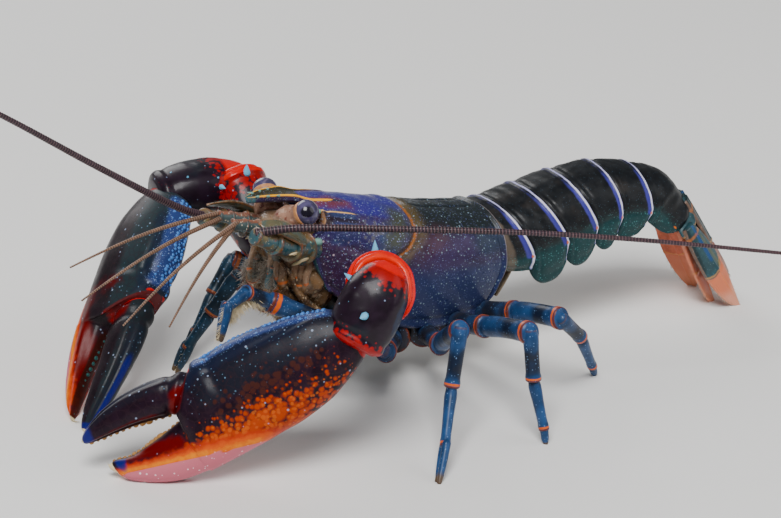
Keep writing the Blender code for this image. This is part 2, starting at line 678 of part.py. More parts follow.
def arm_nodes(side, dark, base_mat):
    """Ischium, merus and carpus of a cheliped, cut face to face at their joints."""
    pose = CHELIPED[side]
    sign = -1.0 if side == "left" else 1.0
    up = Vector((0, 0, 1))
    along, back, inner = claw_frame(side)
    coxa, elbow, merus, wrist = pose["coxa"], pose["ischium"], pose["merus"], pose["wrist"]
    first, first_normal = joint_plane(coxa, elbow, merus)
    stretch = (elbow - coxa).normalized() * 2.0
    bm = limb_bm([coxa, mix(coxa, elbow, 0.55), elbow + stretch], [(4.0, 3.6), (3.4, 3.6)], 10, up, flat=1.1)
    cut(bm, first - first_normal * GAP * 0.5, first_normal)
    ischium = finish_mesh(bm, f"claw_{side}_ischium", base_mat)

    arm = merus - elbow
    heading = arm.normalized()
    across, upward = cross_frame(heading, up)
    rings = []
    for t, wide, deep in ((-0.12, 3.0, 3.3), (0.02, 3.3, 3.7), (0.25, 4.1, 4.7), (0.55, 4.9, 5.6),
                          (0.8, 5.3, 6.0),
                          (0.93, 5.6, 6.2), (0.985, 6.0, 6.5), (1.0, 5.6, 6.1)):
        rings.append(oval(elbow + arm * t, across, upward, wide, deep, 12, 0.92))
    bm = skin(rings)
    cut(bm, first + first_normal * GAP * 0.5, -first_normal)
    merus_obj = finish_mesh(bm, f"claw_{side}_merus", dark)
    bits = []
    for t, lift, size in ((0.93, 6.0, 3.0), (0.55, 5.4, 1.4)):
        bits.append(cone_bit(elbow + arm * t + upward * lift, upward + heading * 0.5, size, 0.9))
    for i in range(5):
        t = 0.3 + 0.13 * i
        root = elbow + arm * t - upward * (4.9 + 0.7 * t) + across * (1.2 * sign)
        bits.append(bump_bit(root, 0.65, -upward))
    fuse(merus_obj, bits)

    wrist_way = (wrist - merus).normalized()
    hinge, hinge_normal = joint_plane(merus, wrist, pose["tip"])
    start = merus - wrist_way * (3.4 if side == "left" else 4.0) + heading * (3.0 if side == "left" else 1.0)
    across, upward = cross_frame(wrist_way, back)
    stop = wrist + wrist_way * 2.5
    rings = []
    for t, size in ((0.0, 0.38), (0.08, 0.62), (0.2, 0.84), (0.38, 1.0), (0.6, 1.04), (0.78, 1.0),
                    (0.9, 0.94),
                    (1.0, 0.86)):
        centre = mix(start, stop, t) + back * 0.8 * math.sin(math.pi * t)
        rings.append(oval(centre, across, upward, 5.5 * size, 4.8 * size, 12, 0.9))
    bm = skin(rings)
    cut(bm, merus + heading * GAP, -heading)
    cut(bm, hinge - hinge_normal * GAP * 0.5, hinge_normal)
    carpus = finish_mesh(bm, f"claw_{side}_carpus", dark)
    middle = mix(start, stop, 0.55)
    bits = [cone_bit(middle + inner * 5.2, inner + along * 0.4, 2.6, 0.9),
            cone_bit(middle + wrist_way * 3.0 - back * 1.0 + inner * 4.4, inner * 0.8 + along, 2.4, 0.85),
            cone_bit(middle + wrist_way * 1.0 + back * 5.6, back + along * 0.5, 1.5, 0.8)]
    fuse(carpus, bits)
    return ischium, merus_obj, carpus


# Abdomen
def back_frame(t):
    """Point, tangent, upward and left vectors of the abdomen's back line at t in 0..1."""
    point = spline(BACK_LINE, t)
    tangent = (spline(BACK_LINE, min(t + 0.02, 1.0)) - spline(BACK_LINE, max(t - 0.02, 0.0))).normalized()
    left = Vector((0, 0, 1)).cross(tangent).normalized() * -1.0
    upward = left.cross(tangent).normalized()
    if upward.z < 0.0:
        upward = -upward
    return point, tangent, upward, left


def ring_size(t, sizes):
    """Value along the abdomen from the sizes at the ends of its rings."""
    return profile(list(zip(RING_ENDS, sizes)), t)


def abdomen_section(t, drop, swell, shift, sweep):
    """Outer and inner points of one section, from the left plate's edge over the back to the right's."""
    half = ring_size(t, RING_HALF) * swell
    arch = ring_size(t, RING_ARCH) * swell
    outer = []
    inner = []
    angles = [-90.0 + 180.0 * i / (ARCH_POINTS - 1) for i in range(ARCH_POINTS)]
    rows = [(-90.0, 1.0), (-90.0, 0.55)] + [(a, 0.0) for a in angles] + [(90.0, 0.55), (90.0, 1.0)]
    length = (spline(BACK_LINE, 1.0) - spline(BACK_LINE, 0.0)).length * 1.12
    for angle, hang in rows:
        rad = math.radians(angle)
        lean = sweep * (abs(angle) / 90.0) ** 1.6 * (1.0 - 0.25 * hang)
        point, tangent, upward, left = back_frame(min(max(t + lean / length, 0.0), 1.0))
        point = point + tangent * shift
        side = half * power(math.sin(rad), 0.9) * (1.0 - 0.1 * hang * hang)
        down = arch * (1.0 - power(math.cos(rad), 0.9)) + drop * hang
        down += ring_size(t, RING_ARCH) * (1.0 - swell)
        outer.append(point + left * side - upward * down)
        belly = ring_size(t, RING_ARCH) * 0.98 - 0.4
        thin = PLATE_THICK * (1.0 - 0.4 * hang)
        if hang > 0.0:
            inner.append(point + left * (side - math.copysign(thin, side)) - upward * (down - 0.1))
        else:
            room = half - PLATE_THICK
            sink = belly + 1.6 * abs(math.sin(rad)) ** 3
            inner.append(point + left * (room * math.sin(rad)) - upward * sink)
    return outer, inner


def abdomen_ring(index, mat):
    """One ring of the abdomen: its arch over the back, the side plates, and the belly skin."""
    start = RING_ENDS[index]
    end = RING_ENDS[index + 1]
    depth = PLATE_DROP[index]
    sweep_front = PLATE_SWEEP if index > 0 else 0.0
    sweep_rear = PLATE_SWEEP if index < 5 else 0.6
    sections = []
    for t, swell in ((0.0, 0.93), (0.1, 0.945), (0.25, 0.985), (0.55, 1.0), (0.9, 1.01), (1.0, 0.995)):
        round_off = max(1.0 - abs(2.0 * t - 1.0) ** 2.6, 0.0) ** 0.5
        drop = depth * (0.3 + 0.7 * round_off)
        if index == 0:
            drop = depth * (0.4 + 0.6 * t)
        shift = GAP * (1.0 - t) if index > 0 else 0.0
        sweep = mix(sweep_front, sweep_rear, t)
        sections.append(abdomen_section(mix(start, end, t), drop, swell, shift, sweep))
    bm = bmesh.new()
    loops = []
    for outer, inner in sections:
        loops.append([bm.verts.new(p) for p in outer + inner[::-1]])
    count = len(loops[0])
    for a, b in zip(loops, loops[1:]):
        for i in range(count):
            j = (i + 1) % count
            bm.faces.new((a[i], a[j], b[j], b[i]))
    for loop in (loops[0], loops[-1]):
        for i in range(count // 2 - 1):
            bm.faces.new((loop[i], loop[i + 1], loop[count - 2 - i], loop[count - 1 - i]))
    ring = finish_mesh(bm, f"abdomen_{index + 1}", mat)
    bits = []
    if 1 <= index <= 4:
        point, tangent, upward, left = back_frame(mix(start, end, 0.45))
        base = ring_size(mix(start, end, 0.45), RING_ARCH) * 0.98 + 0.2
        for side in (-1.0, 1.0):
            root = point - upward * (base - 1.6) + left * (side * 4.6)
            reach = 9.0 if index == 1 else 6.6
            toward = -upward - tangent * (0.75 if index == 1 else 0.25) + left * side * 0.25
            across, other = cross_frame(toward.normalized(), left)
            rings = [oval(root, across, other, 0.8, 0.8, 5),
                     oval(root + toward.normalized() * reach * 0.6, across, other, 0.6, 1.0, 5)]
            bits.append(skin(rings, end=root + toward.normalized() * (reach + 1.2)))
    return fuse(ring, bits)


# Tail fan
def blade(name, root, along, across, length, widths, mat, ribs, camber=0.8, tip_drop=0.0, bits=()):
    """A fan blade: a thin leaf with rounded end and raised ribs on both faces."""
    normal = across.cross(along).normalized()
    spots = [-1.0, -0.8, -0.52, -0.2, 0.2, 0.52, 0.8, 1.0]
    rings = []
    for t in (0.0, 0.12, 0.35, 0.57, 0.61, 0.8, 0.92, 1.0):
        half = 0.5 * profile(widths, t)
        thick = 0.5 * mix(BLADE_THICK * 1.5, BLADE_THICK * 0.62, t)
        if abs(t - 0.57) < 0.01:
            thick *= 1.25
        centre = root + along * (length * t) - normal * (tip_drop * t * t)
        top = []
        under = []
        for v in spots:
            rib = 0.22 * sum(math.exp(-((v - spot) / 0.13) ** 2) for spot in ribs)
            edge = max(1.0 - abs(v) ** 3, 0.0) ** 0.5
            round_end = (1.0 - v * v) * 0.06 * length * t ** 4
            place = centre + across * (half * v) + normal * (camber * (1.0 - v * v)) + along * round_end
            lift = (thick + rib) * (0.4 + 0.6 * edge)
            top.append(place + normal * lift)
            under.append(place - normal * (thick + rib * 0.5) * (0.4 + 0.6 * edge))
        rings.append(top + under[::-1])
    bm = skin(rings, end=root + along * (length * 1.035) + normal * (camber - tip_drop))
    floor_cut(bm)
    return fuse(finish_mesh(bm, name, mat), list(bits))


def tail_fan(fan_mat, soft_mat):
    """Telson in the middle and two leaves of each uropod, the outer one with its stem."""
    down = FAN_DOWN
    left = FAN_LEFT
    normal = left.cross(down).normalized()
    if normal.x < 0.0:
        normal = -normal
    telson = blade("telson", FAN_ROOT - down * 1.5, down, left, TELSON_LENGTH,
                   [(0.0, 8.0), (0.15, 9.0), (0.58, 8.0), (0.8, 7.4), (0.95, 5.6), (1.0, 3.6)], fan_mat,
                   (-0.55, 0.0, 0.55))
    nodes = [telson]
    for name, sign in (("left", 1.0), ("right", -1.0)):
        root = FAN_ROOT - down * 1.0 + left * (sign * 3.9) - normal * 1.6
        for leaf, sweep, cup, reach, wide in (("endopod", 8.0, 30.0, 19.5, 7.4),
                                              ("exopod", 0.0, 52.0, 21.0, 6.8)):
            sweep = math.radians(sweep)
            cup = math.radians(cup)
            splay = left * (sign * (0.04 if leaf == "exopod" else 0.02))
            along = (down * math.cos(sweep) - normal * math.sin(sweep) + splay).normalized()
            out = left * sign
            across = (out * math.cos(cup) - normal * math.sin(cup)).normalized()
            across = (across - along * across.dot(along)).normalized()
            offset = out * 2.6 - normal * 1.2 if leaf == "exopod" else -out * 0.6 - normal * 1.4
            start = root + along * 2.4 + offset
            bits = []
            if leaf == "exopod":
                stem = [(root - along * 1.6, 1.9), (root + along * 1.2, 2.1), (start + along * 1.5, 1.8)]
                rings = [oval(p, across, normal, half * 1.2, half * 0.75, 6) for p, half in stem]
                bits.append(skin(rings))
            widths = [(0.0, wide * 0.42), (0.2, wide * 0.8), (0.55, wide), (0.8, wide * 0.92),
                      (0.95, wide * 0.66),
                      (1.0, wide * 0.4)]
            nodes.append(blade(f"uropod_{leaf}_{name}", start, along, across, reach, widths,
                               fan_mat if leaf == "exopod" else soft_mat, (-0.36, 0.36), 0.5 * sign, 0.0,
                               bits))
    return nodes


# Head parts
def mouth_frame(mat):
    """The front of the head under the rostrum, which carries the eyes, feelers and mouthparts."""
    rings = []
    for x, z, wide, deep in ((-35.5, 26.2, 6.6, 9.6), (-38.5, 26.0, 6.9, 10.0), (-41.5, 27.2, 6.4, 9.2),
                             (-44.5, 29.6, 5.2, 7.0), (-46.6, 31.8, 3.8, 4.4)):
        rings.append(oval(Vector((x, 0.0, z)), Vector((0, 1, 0)), Vector((0, 0, 1)), wide, deep, 14, 0.9))
    bm = skin(rings, end=Vector((-47.4, 0.0, 33.4)))
    frame = finish_mesh(bm, "mouth_frame", mat)
    bits = []
    for side in (-1.0, 1.0):
        jaw = [oval(Vector((x, side * y, z)), Vector((0, 1, 0)), Vector((0, 0, 1)), wide, deep, 8)
               for x, y, z, wide, deep in ((-37.0, 5.2, 24.6, 2.2, 2.4), (-41.0, 5.0, 24.4, 2.6, 2.9),
                                           (-44.6, 3.4, 25.6, 1.8, 2.0))]
        bits.append(skin(jaw))
    return fuse(frame, bits)


def maxilliped(side, mat):
    """Third maxilliped: a broad article against the mouth, then a palp that curls up in front."""
    s = -1.0 if side == "left" else 1.0
    path = [(-31.0, s * 3.2, 12.8), (-38.4, s * 3.6, 13.8), (-45.0, s * 3.4, 18.4), (-47.4, s * 3.0, 23.8),
            (-46.8, s * 2.8, 27.6)]
    bm = limb_bm(path, [(2.1, 2.3), (2.3, 1.9), (1.7, 1.3), (1.1, 0.8)], 7, Vector((0.3, s, 0.3)), flat=1.2,
                 tip=(-46.0, s * 2.6, 28.8))
    node = finish_mesh(bm, f"maxilliped_{side}", mat)
    bits = []
    for i in range(3):
        root = mix(Vector((-39.0, s * 4.8, 13.2)), Vector((-44.6, s * 5.4, 17.2)), i / 2.0)
        bits.append(cone_bit(root, Vector((-0.4, s * 0.5, -0.8)), 2.6, 0.45, sides=4, sink=1.2))
    return fuse(node, bits)


def eye_nodes(side, stalk_mat, eye_mat):
    """Eyeball on a stalk that comes out from under the rostrum."""
    s = -1.0 if side == "left" else 1.0
    ball = Vector((-42.0, s * 7.0, 37.8))
    root = Vector((-44.2, s * 1.8, 35.2))
    across, upward = cross_frame((ball - root).normalized(), Vector((0, 0, 1)))
    rings = []
    for t, half in ((0.0, 2.0), (0.3, 2.1), (0.62, 1.9), (0.86, 2.0), (0.98, 1.6)):
        rings.append(oval(mix(root, ball, t), across, upward, half * 1.08, half, 8))
    stalk = finish_mesh(skin(rings), f"eyestalk_{side}", stalk_mat)
    bm = bmesh.new()
    turn = Vector((0, 0, 1)).rotation_difference((ball - root).normalized()).to_matrix().to_4x4()
    bmesh.ops.create_uvsphere(bm, u_segments=12, v_segments=8, radius=2.15,
                              matrix=Matrix.Translation(ball) @ turn @ Matrix.Diagonal((1.0, 1.0, 0.86, 1.0)))
    eye = finish_mesh(bm, f"eye_{side}", eye_mat)
    seat(stalk, eye)
    return stalk, eye


FEELERS = {
    "left": {
        "stem": [(-42.0, -6.4, 31.2), (-46.0, -7.6, 32.6), (-50.0, -8.4, 34.6), (-53.6, -8.2, 36.8)],
        "whip": [(-53.6, -8.2, 37.4), (-46.8, -12.0, 38.0), (-32.1, -18.5, 36.6), (-9.0, -29.0, 34.0),
                 (11.5, -38.0, 30.7), (36.5, -46.0, 25.1), (51.0, -50.0, 21.6)],
        "tips": [(-83.0, -13.0, 29.0), (-77.0, -18.0, 29.0)],
    },
    "right": {
        "stem": [(-42.0, 6.4, 31.2), (-46.6, 7.4, 32.6), (-51.4, 7.0, 34.4), (-56.0, 5.2, 36.6)],
        "whip": [(-55.8, 5.3, 36.6), (-64.0, 3.0, 41.6), (-82.0, -2.6, 54.6), (-100.0, -8.0, 68.0),
                 (-118.0, -13.0, 80.5), (-137.0, -17.0, 90.0)],
        "tips": [(-86.0, -0.5, 36.0), (-88.0, -8.0, 33.0)],
    },
}


def feeler_stem(side, mat, leaf_mat):
    """Antenna's stem of three articles, and the leaf-shaped scale beside it."""
    s = -1.0 if side == "left" else 1.0
    pose = FEELERS[side]
    bm = limb_bm(pose["stem"], [(2.4, 2.5), (2.1, 2.1), (1.7, 1.6)], 8, Vector((0, 0, 1)), flat=0.95)
    stem = finish_mesh(bm, f"antenna_{side}_stem", mat)
    root = Vector(pose["stem"][0]) + Vector((-1.4, s * 1.8, 2.2))
    tip = Vector((pose["stem"][3][0] + 1.6, s * 6.8, pose["stem"][3][2] + 1.5))
    along = (tip - root).normalized()
    across, upward = cross_frame(along, Vector((0, s * 0.5, 1.0)))
    rings = []
    for t, half in ((0.0, 1.4), (0.2, 1.9), (0.5, 2.0), (0.75, 1.5), (0.93, 0.8)):
        rings.append(oval(mix(root, tip, t) + upward * (0.9 * math.sin(math.pi * t)), across, upward,
                          half, 0.42, 8))
    scale = finish_mesh(skin(rings, end=tip - along * 0.1), f"antenna_{side}_scale", leaf_mat)
    return stem, scale


def feeler_whip(side, mat):
    """The long whip of an antenna, in two lengths that meet face to face."""
    pose = FEELERS[side]
    nodes = []
    meet = 0.5
    for part, (start, stop) in (("inner", (0.0, meet)), ("outer", (meet, 1.0))):
        rings = []
        count = 12
        for i in range(count):
            t = mix(start, stop, i / (count - 1))
            point = spline(pose["whip"], t)
            step = spline(pose["whip"], min(t + 0.01, 1.0)) - spline(pose["whip"], max(t - 0.01, 0.0))
            if part == "outer" and i == 0:
                point = point + step.normalized() * GAP
            across, upward = cross_frame(step.normalized(), Vector((0.1, 0.2, 1.0)))
            half = profile([(0.0, 0.78), (0.12, 0.66), (0.5, 0.5), (1.0, 0.26)], t)
            rings.append(oval(point, across, upward, half, half, 5))
        nodes.append(finish_mesh(skin(rings), f"antenna_{side}_whip_{part}", mat))
    return nodes


def antennule(side, mat):
    """Antennule: a short stem and two thin whips, joined into one node."""
    s = -1.0 if side == "left" else 1.0
    pose = FEELERS[side]
    stem_end = Vector((-54.6, s * 2.4, 37.4))
    bm = limb_bm([(-45.0, s * 2.0, 34.0), (-49.4, s * 2.2, 35.6), stem_end], [(1.5, 1.4), (1.3, 1.2)], 8,
                 Vector((0, 0, 1)))
    node = finish_mesh(bm, f"antennule_{side}", mat)
    bits = []
    for index, tip in enumerate(pose["tips"]):
        end = Vector(tip)
        start = stem_end + Vector((0.8, s * 0.35 * (1 - 2 * index), 0.3 * (1 - 2 * index)))
        rings = []
        for i in range(6):
            t = i / 5.0
            sag = Vector((0, 0, 1.2 * math.sin(math.pi * t)))
            across, upward = cross_frame((end - start).normalized(), Vector((0, 0.2, 1)))
            half = mix(0.5, 0.27, t)
            rings.append(oval(mix(start, end, t) + sag, across, upward, half, half, 5))
        bits.append(skin(rings))
    return fuse(node, bits)


# Whole animal
def build():
    clear_scene()
    violet = material("shell_head", (0.045, 0.04, 0.2))
    olive = material("shell_thorax", (0.02, 0.035, 0.045))
    black = material("shell_abdomen", (0.012, 0.014, 0.02))
    plum = material("claw_shell", (0.03, 0.015, 0.03), 0.25)
    blue = material("leg_shell", (0.03, 0.1, 0.28))
    deep_blue = material("leg_shell_end", (0.02, 0.07, 0.2))
    brown = material("mouth_shell", (0.16, 0.09, 0.035), 0.5)
    tan = material("stalk_skin", (0.4, 0.22, 0.14), 0.5)
    eye = material("eye_cornea", (0.09, 0.08, 0.14), 0.12)
    whip = material("feeler_shell", (0.06, 0.03, 0.04), 0.5)
    teal = material("fan_shell", (0.06, 0.1, 0.11), 0.4)
    salmon = material("fan_soft", (0.7, 0.2, 0.1), 0.5)
    belly = material("belly_skin", (0.1, 0.1, 0.09), 0.6)

    thorax = carapace_thorax(olive)
    head = carapace_head(violet)
    breast = underbody(belly)
    rings = [abdomen_ring(i, black) for i in range(6)]
    seat(rings[0], thorax, breast)
    frame = mouth_frame(brown)
    seat(frame, head, breast)
    fan = tail_fan(teal, salmon)
    seat(fan[0], rings[5])
    placed = [rings[5], fan[0]]
    for leaf in (fan[2], fan[1], fan[4], fan[3]):
        seat(leaf, *placed)
        placed.append(leaf)

    for side in ("left", "right"):
        stalk, ball = eye_nodes(side, tan, eye)
        seat(stalk, head, frame)
        stem, scale = feeler_stem(side, brown, teal)
        seat(stem, frame, head)
        seat(scale, stem, frame, head, stalk)
        inner, outer = feeler_whip(side, whip)
        seat(inner, stem)
        little = antennule(side, brown)
        seat(little, frame, stem)
        palp = maxilliped(side, brown)
        seat(palp, breast, frame)
        ischium, merus, carpus = arm_nodes(side, plum, blue)
        seat(ischium, breast, thorax, palp)
        seat(carpus, merus)
        palm = palm_node(side, plum, CHELIPED[side]["merus"])
        finger = dactyl_node(side, plum)
        for pair in (2, 3, 4, 5):
            upper, lower = walking_leg(f"leg{pair}_{side}", blue, deep_blue)
            seat(upper, breast, thorax)
            if pair == 2:
                seat(upper, ischium, palp)

    for node in list(bpy.context.scene.collection.objects):
        clean(node)


build()
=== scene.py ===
# %% [markdown]
# # A life-size crayfish for a museum shelf
#
# The animal is a male of a small blue and black crayfish. Its armour is a set of stiff plates with
# soft skin between them, so the model is a set of shells too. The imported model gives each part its
# place. Here every part gets a smooth skin worked out with numpy and a finish made of nodes,
# because a faceted solid can't carry wet, speckled shell.

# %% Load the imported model
import math

import bpy
import numpy as np
from mathutils import Matrix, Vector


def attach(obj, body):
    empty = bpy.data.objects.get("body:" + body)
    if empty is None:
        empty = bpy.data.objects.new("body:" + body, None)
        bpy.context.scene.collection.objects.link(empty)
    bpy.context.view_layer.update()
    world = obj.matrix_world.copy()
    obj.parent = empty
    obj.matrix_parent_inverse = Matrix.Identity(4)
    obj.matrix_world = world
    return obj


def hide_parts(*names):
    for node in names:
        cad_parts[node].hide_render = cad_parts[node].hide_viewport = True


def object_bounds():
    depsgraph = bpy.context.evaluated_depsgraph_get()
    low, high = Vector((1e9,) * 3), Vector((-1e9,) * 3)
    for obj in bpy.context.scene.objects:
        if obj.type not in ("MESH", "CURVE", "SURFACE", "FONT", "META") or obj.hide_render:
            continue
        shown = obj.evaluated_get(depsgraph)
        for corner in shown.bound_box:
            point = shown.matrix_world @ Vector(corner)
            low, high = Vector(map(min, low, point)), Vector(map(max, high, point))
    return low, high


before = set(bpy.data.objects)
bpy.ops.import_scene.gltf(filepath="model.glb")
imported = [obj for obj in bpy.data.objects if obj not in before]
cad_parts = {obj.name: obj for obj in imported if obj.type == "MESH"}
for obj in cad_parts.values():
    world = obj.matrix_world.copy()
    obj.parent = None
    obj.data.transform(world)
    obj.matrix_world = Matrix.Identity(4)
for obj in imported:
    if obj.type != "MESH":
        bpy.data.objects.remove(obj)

cad_box = [list(corner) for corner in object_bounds()]
print("nodes in the frame:", len(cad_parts))

# %% [markdown]
# ## Where things are
#
# All sizes below are millimetres in the animal's own frame: the head points along -X, its left side
# faces -Y, the floor is z = 0, and x = 0 is the rear edge of the carapace. The model's origin is
# the floor point under its middle, so one subtraction and one scale give a mesh point.

# %% Units and origin
MM = 0.001
ORIGIN = np.array([-39.3, -4.35, 0])
UP = (0, 0, 1)
SIDES = (("left", -1), ("right", 1))
SEED = 11


def to_model(points):
    """Millimetres in the animal's frame to metres in the model's frame: (p - origin) / 1000."""
    return (np.asarray(points, float) - ORIGIN) * MM


# %% [markdown]
# ## Small mathematics
#
# A shape here is a table of a few named values, read smoothly. A cubic that never overshoots its
# keys keeps a shell free of ripples, and a Catmull-Rom curve passes through every point of a limb
# or a feeler. Both take whole arrays.

# %% Curves through keys
def profile(keys, x):
    """Cubic Hermite through (x, value) keys; each slope is the harmonic mean of its two chords."""
    xs, ys = np.array(keys, float).T
    chord = np.diff(ys) / np.diff(xs)
    product = chord[:-1] * chord[1:]
    same = product > 0
    inner = np.where(same, 2 * product / np.where(same, chord[:-1] + chord[1:], 1), 0)
    slope = np.hstack([chord[:1], inner, chord[-1:]])
    x = np.clip(np.asarray(x, float), xs[0], xs[-1])
    i = np.clip(np.searchsorted(xs, x, side="right") - 1, 0, len(xs) - 2)
    span = xs[i + 1] - xs[i]
    t = (x - xs[i]) / span
    rise = (2 * t ** 3 - 3 * t ** 2 + 1) * ys[i] + (3 * t ** 2 - 2 * t ** 3) * ys[i + 1]
    lean = (t ** 3 - 2 * t ** 2 + t) * slope[i] + (t ** 3 - t ** 2) * slope[i + 1]
    return rise + span * lean


def sizes(keys, x):
    """Two profiles of keys with three columns: (x, first value, second value)."""
    keys = np.array(keys, float)
    return profile(keys[:, :2], x), profile(keys[:, ::2], x)


def spline(points, t):
    """Catmull-Rom curve: a cubic blend of the four points round each share t of the way."""
    pts = np.asarray(points, float)
    n = len(pts) - 1
    t = np.clip(np.asarray(t, float), 0, 1)
    i = np.minimum((t * n).astype(int), n - 1)
    f = (t * n - i)[..., None]
    ext = np.vstack([2 * pts[0] - pts[1], pts, 2 * pts[-1] - pts[-2]])
    p0, p1, p2, p3 = (ext[i + k] for k in range(4))
    return 0.5 * (2 * p1 + (p2 - p0) * f + (2 * p0 - 5 * p1 + 4 * p2 - p3) * f ** 2
        + (3 * p1 - p0 - 3 * p2 + p3) * f ** 3)


def step(low, high, x):
    """Smooth step: 0 below low, 1 above high, and 3t^2 - 2t^3 between them."""
    t = np.clip((np.asarray(x, float) - low) / (high - low), 0, 1)
    return t * t * (3 - 2 * t)


def bell(x, centre, width):
    """Bell curve: e to the minus square of the distance from the centre over the width."""
    return np.exp(-((np.asarray(x, float) - centre) / width) ** 2)


def arc(t):
    """Half a sine wave: 0 at the shares 0 and 1, and 1 in the middle."""
    return np.sin(np.pi * np.clip(t, 0, 1))


def spow(value, exponent):
    """Signed power: the sign of the value times its size to the exponent."""
    return np.sign(value) * np.abs(value) ** exponent


def unit(v):
    """Vectors of length one along the last axis."""
    v = np.asarray(v, float)
    return v / np.maximum(np.linalg.norm(v, axis=-1, keepdims=True), 1e-12)


def mix(a, b, t):
    """Straight blend a + (b - a) t."""
    a, b = np.asarray(a, float), np.asarray(b, float)
    return a + (b - a) * t


def vectors(x, y, z):
    """Vectors of three arrays or numbers, brought to one shape."""
    return np.stack(np.broadcast_arrays(x, y, z), axis=-1)


def swing(a, b, degrees):
    """Unit vector a turned toward b, which stands square to it: a cos + b sin."""
    turn = math.radians(degrees)
    return np.multiply(a, math.cos(turn)) + np.multiply(b, math.sin(turn))


def ripple(points, pitch, seed=0):
    """Soft uneven field in about -1..1: a sum of six sine waves in random directions."""
    rng = np.random.default_rng(SEED + seed)
    ways = unit(rng.normal(size=(6, 3))) * (2 * np.pi / pitch) * rng.uniform(0.6, 1.4, (6, 1))
    phase = rng.uniform(0, 2 * np.pi, 6)
    return np.sin(np.asarray(points) @ ways.T + phase).sum(axis=-1) / 3


def circle(columns):
    """Angles of the columns round a tube, evenly spaced from zero."""
    return 2 * np.pi * np.arange(columns) / columns


def eased(rows):
    """Shares 0..1 that lie closer near both ends, (1 - cos) / 2, so that round ends stay round."""
    return 0.5 - 0.5 * np.cos(np.linspace(0, np.pi, rows))


def runs(*parts):
    """Even steps in runs of (from, to, count); every run but the last leaves its end out."""
    return np.hstack([np.linspace(*part, endpoint=part is parts[-1]) for part in parts])


print("curves ready")

# %% [markdown]
# ## Grids, caps and small repeats
#
# A skin is a grid of points: rows run along the part and columns round it. The columns close on
# themselves, and a fan to one pole closes each end, so every shell is a closed body. Each shell
# also carries named values, such as how near a point is to a joint, and the finishes read them. A
# value is given for each point, or for each row.

# %% Shells from arrays
def frames(direction, up=UP):
    """Unit vectors across and upward for each direction: across = direction x up."""
    direction = unit(direction)
    across = unit(np.cross(direction, np.broadcast_to(np.asarray(up, float), direction.shape)))
    return across, np.cross(across, direction)


def grid_faces(rows, columns):
    """Quads of a grid whose columns wrap round, and triangles from its end rows to two poles."""
    i, j = np.meshgrid(np.arange(rows - 1), np.arange(columns), indexing="ij")
    k = (j + 1) % columns
    quads = np.stack([i * columns + j, i * columns + k, (i + 1) * columns + k, (i + 1) * columns + j],
        axis=-1).reshape(-1, 4)
    first, after = j[0], k[0]
    base, pole = (rows - 1) * columns, np.full(columns, rows * columns)
    return quads, np.vstack([np.stack([after, first, pole], axis=1),
        np.stack([base + first, base + after, pole + 1], axis=1)])


def shell(grid, marks=None, start=None, end=None):
    """Closed shell of a grid (rows, columns, 3) with a pole at each end, turned to face outward."""
    rows, columns = grid.shape[:2]
    poles = [grid[0].mean(axis=0) if start is None else start, grid[-1].mean(axis=0) if end is None else end]
    verts = np.vstack([grid.reshape(-1, 3), poles])
    quads, caps = grid_faces(rows, columns)
    values = {}
    for name, mark in (marks or {}).items():
        mark = np.broadcast_to(mark[:, None] if np.ndim(mark) == 1 else mark, (rows, columns))
        values[name] = np.hstack([mark.ravel(), [mark[0].mean(), mark[-1].mean()]])
    # the sum of the cones from the middle to all quads is below zero where the shell is inside out
    a, b, c, d = (verts[quads[:, k]] - verts.mean(axis=0) for k in range(4))
    if (a * np.cross(b, c) + a * np.cross(c, d)).sum() < 0:
        quads, caps = quads[:, ::-1], caps[:, ::-1]
    return {"verts": verts, "quads": quads, "tris": caps, "marks": values}


def loft(centre, across, upward, wide, deep, columns, square=1):
    """Rings of superellipse sections: centre + across * wide * cos^s + upward * deep * sin^s."""
    angle = circle(columns)
    across, upward = (np.broadcast_to(v, centre.shape)[:, None] for v in (across, upward))
    wide, deep = (np.asarray(v, float).reshape(len(centre), -1) for v in (wide, deep))
    return (centre[:, None] + across * (wide * spow(np.cos(angle), square))[..., None]
        + upward * (deep * spow(np.sin(angle), square))[..., None])


def rod(path, up, keys, rows, columns, flat=1):
    """Loft along the curve through a few points; keys give half the width, flat the depth's share."""
    u = eased(rows)
    centre = spline(path, u)
    half = profile(keys, u)
    return u, centre, loft(centre, *frames(np.gradient(centre, axis=0), up), half, half * flat, columns)


def on_first(value, shape, more):
    """A mark on the first columns of a grid, with as many columns of zero after it."""
    return np.hstack([np.broadcast_to(value, shape), np.zeros((shape[0], more))])


def displace(points, centre, amount):
    """Move a closed-column grid along its own normals, which are the cross of its two slopes."""
    along = np.gradient(points, axis=0)
    around = np.roll(points, -1, axis=1) - np.roll(points, 1, axis=1)
    normal = unit(np.cross(along, around))
    side = np.sign(np.einsum("ijk,ijk->ij", normal, points - centre))
    return points + normal * (side * amount)[..., None]


# %% [markdown]
# Spines, tubercles and bristles come by the hundred. Each is a small turned body, copied by matrix
# products, because a separate object for each would slow the scene down.

# %% Spines, knobs and bristles
def turned(radii, heights, sides):
    """Template of a small turned body, as triangles: rings of the given radii, a pole at each end."""
    angle = circle(sides)
    rings = np.stack([np.outer(radii, np.cos(angle)), np.outer(radii, np.sin(angle)),
        np.repeat(np.array(heights)[1:-1, None], sides, axis=1)], axis=-1).reshape(-1, 3)
    quads, caps = grid_faces(len(radii), sides)
    return (np.vstack([rings, [[0, 0, heights[0]], [0, 0, heights[-1]]]]),
        np.vstack([quads[:, [0, 1, 2]], quads[:, [0, 2, 3]], caps]))


SPINE = turned([0.9, 1, 0.72, 0.38, 0.12], [-0.45, -0.35, 0, 0.35, 0.7, 0.93, 1], 8)
KNOB = turned([0.6, 0.92, 1, 0.86, 0.5], [-0.8, -0.7, -0.35, 0, 0.4, 0.68, 0.78], 8)
BRISTLE = turned([1, 0.75, 0.4], [-0.05, 0, 0.5, 0.85, 1], 3)


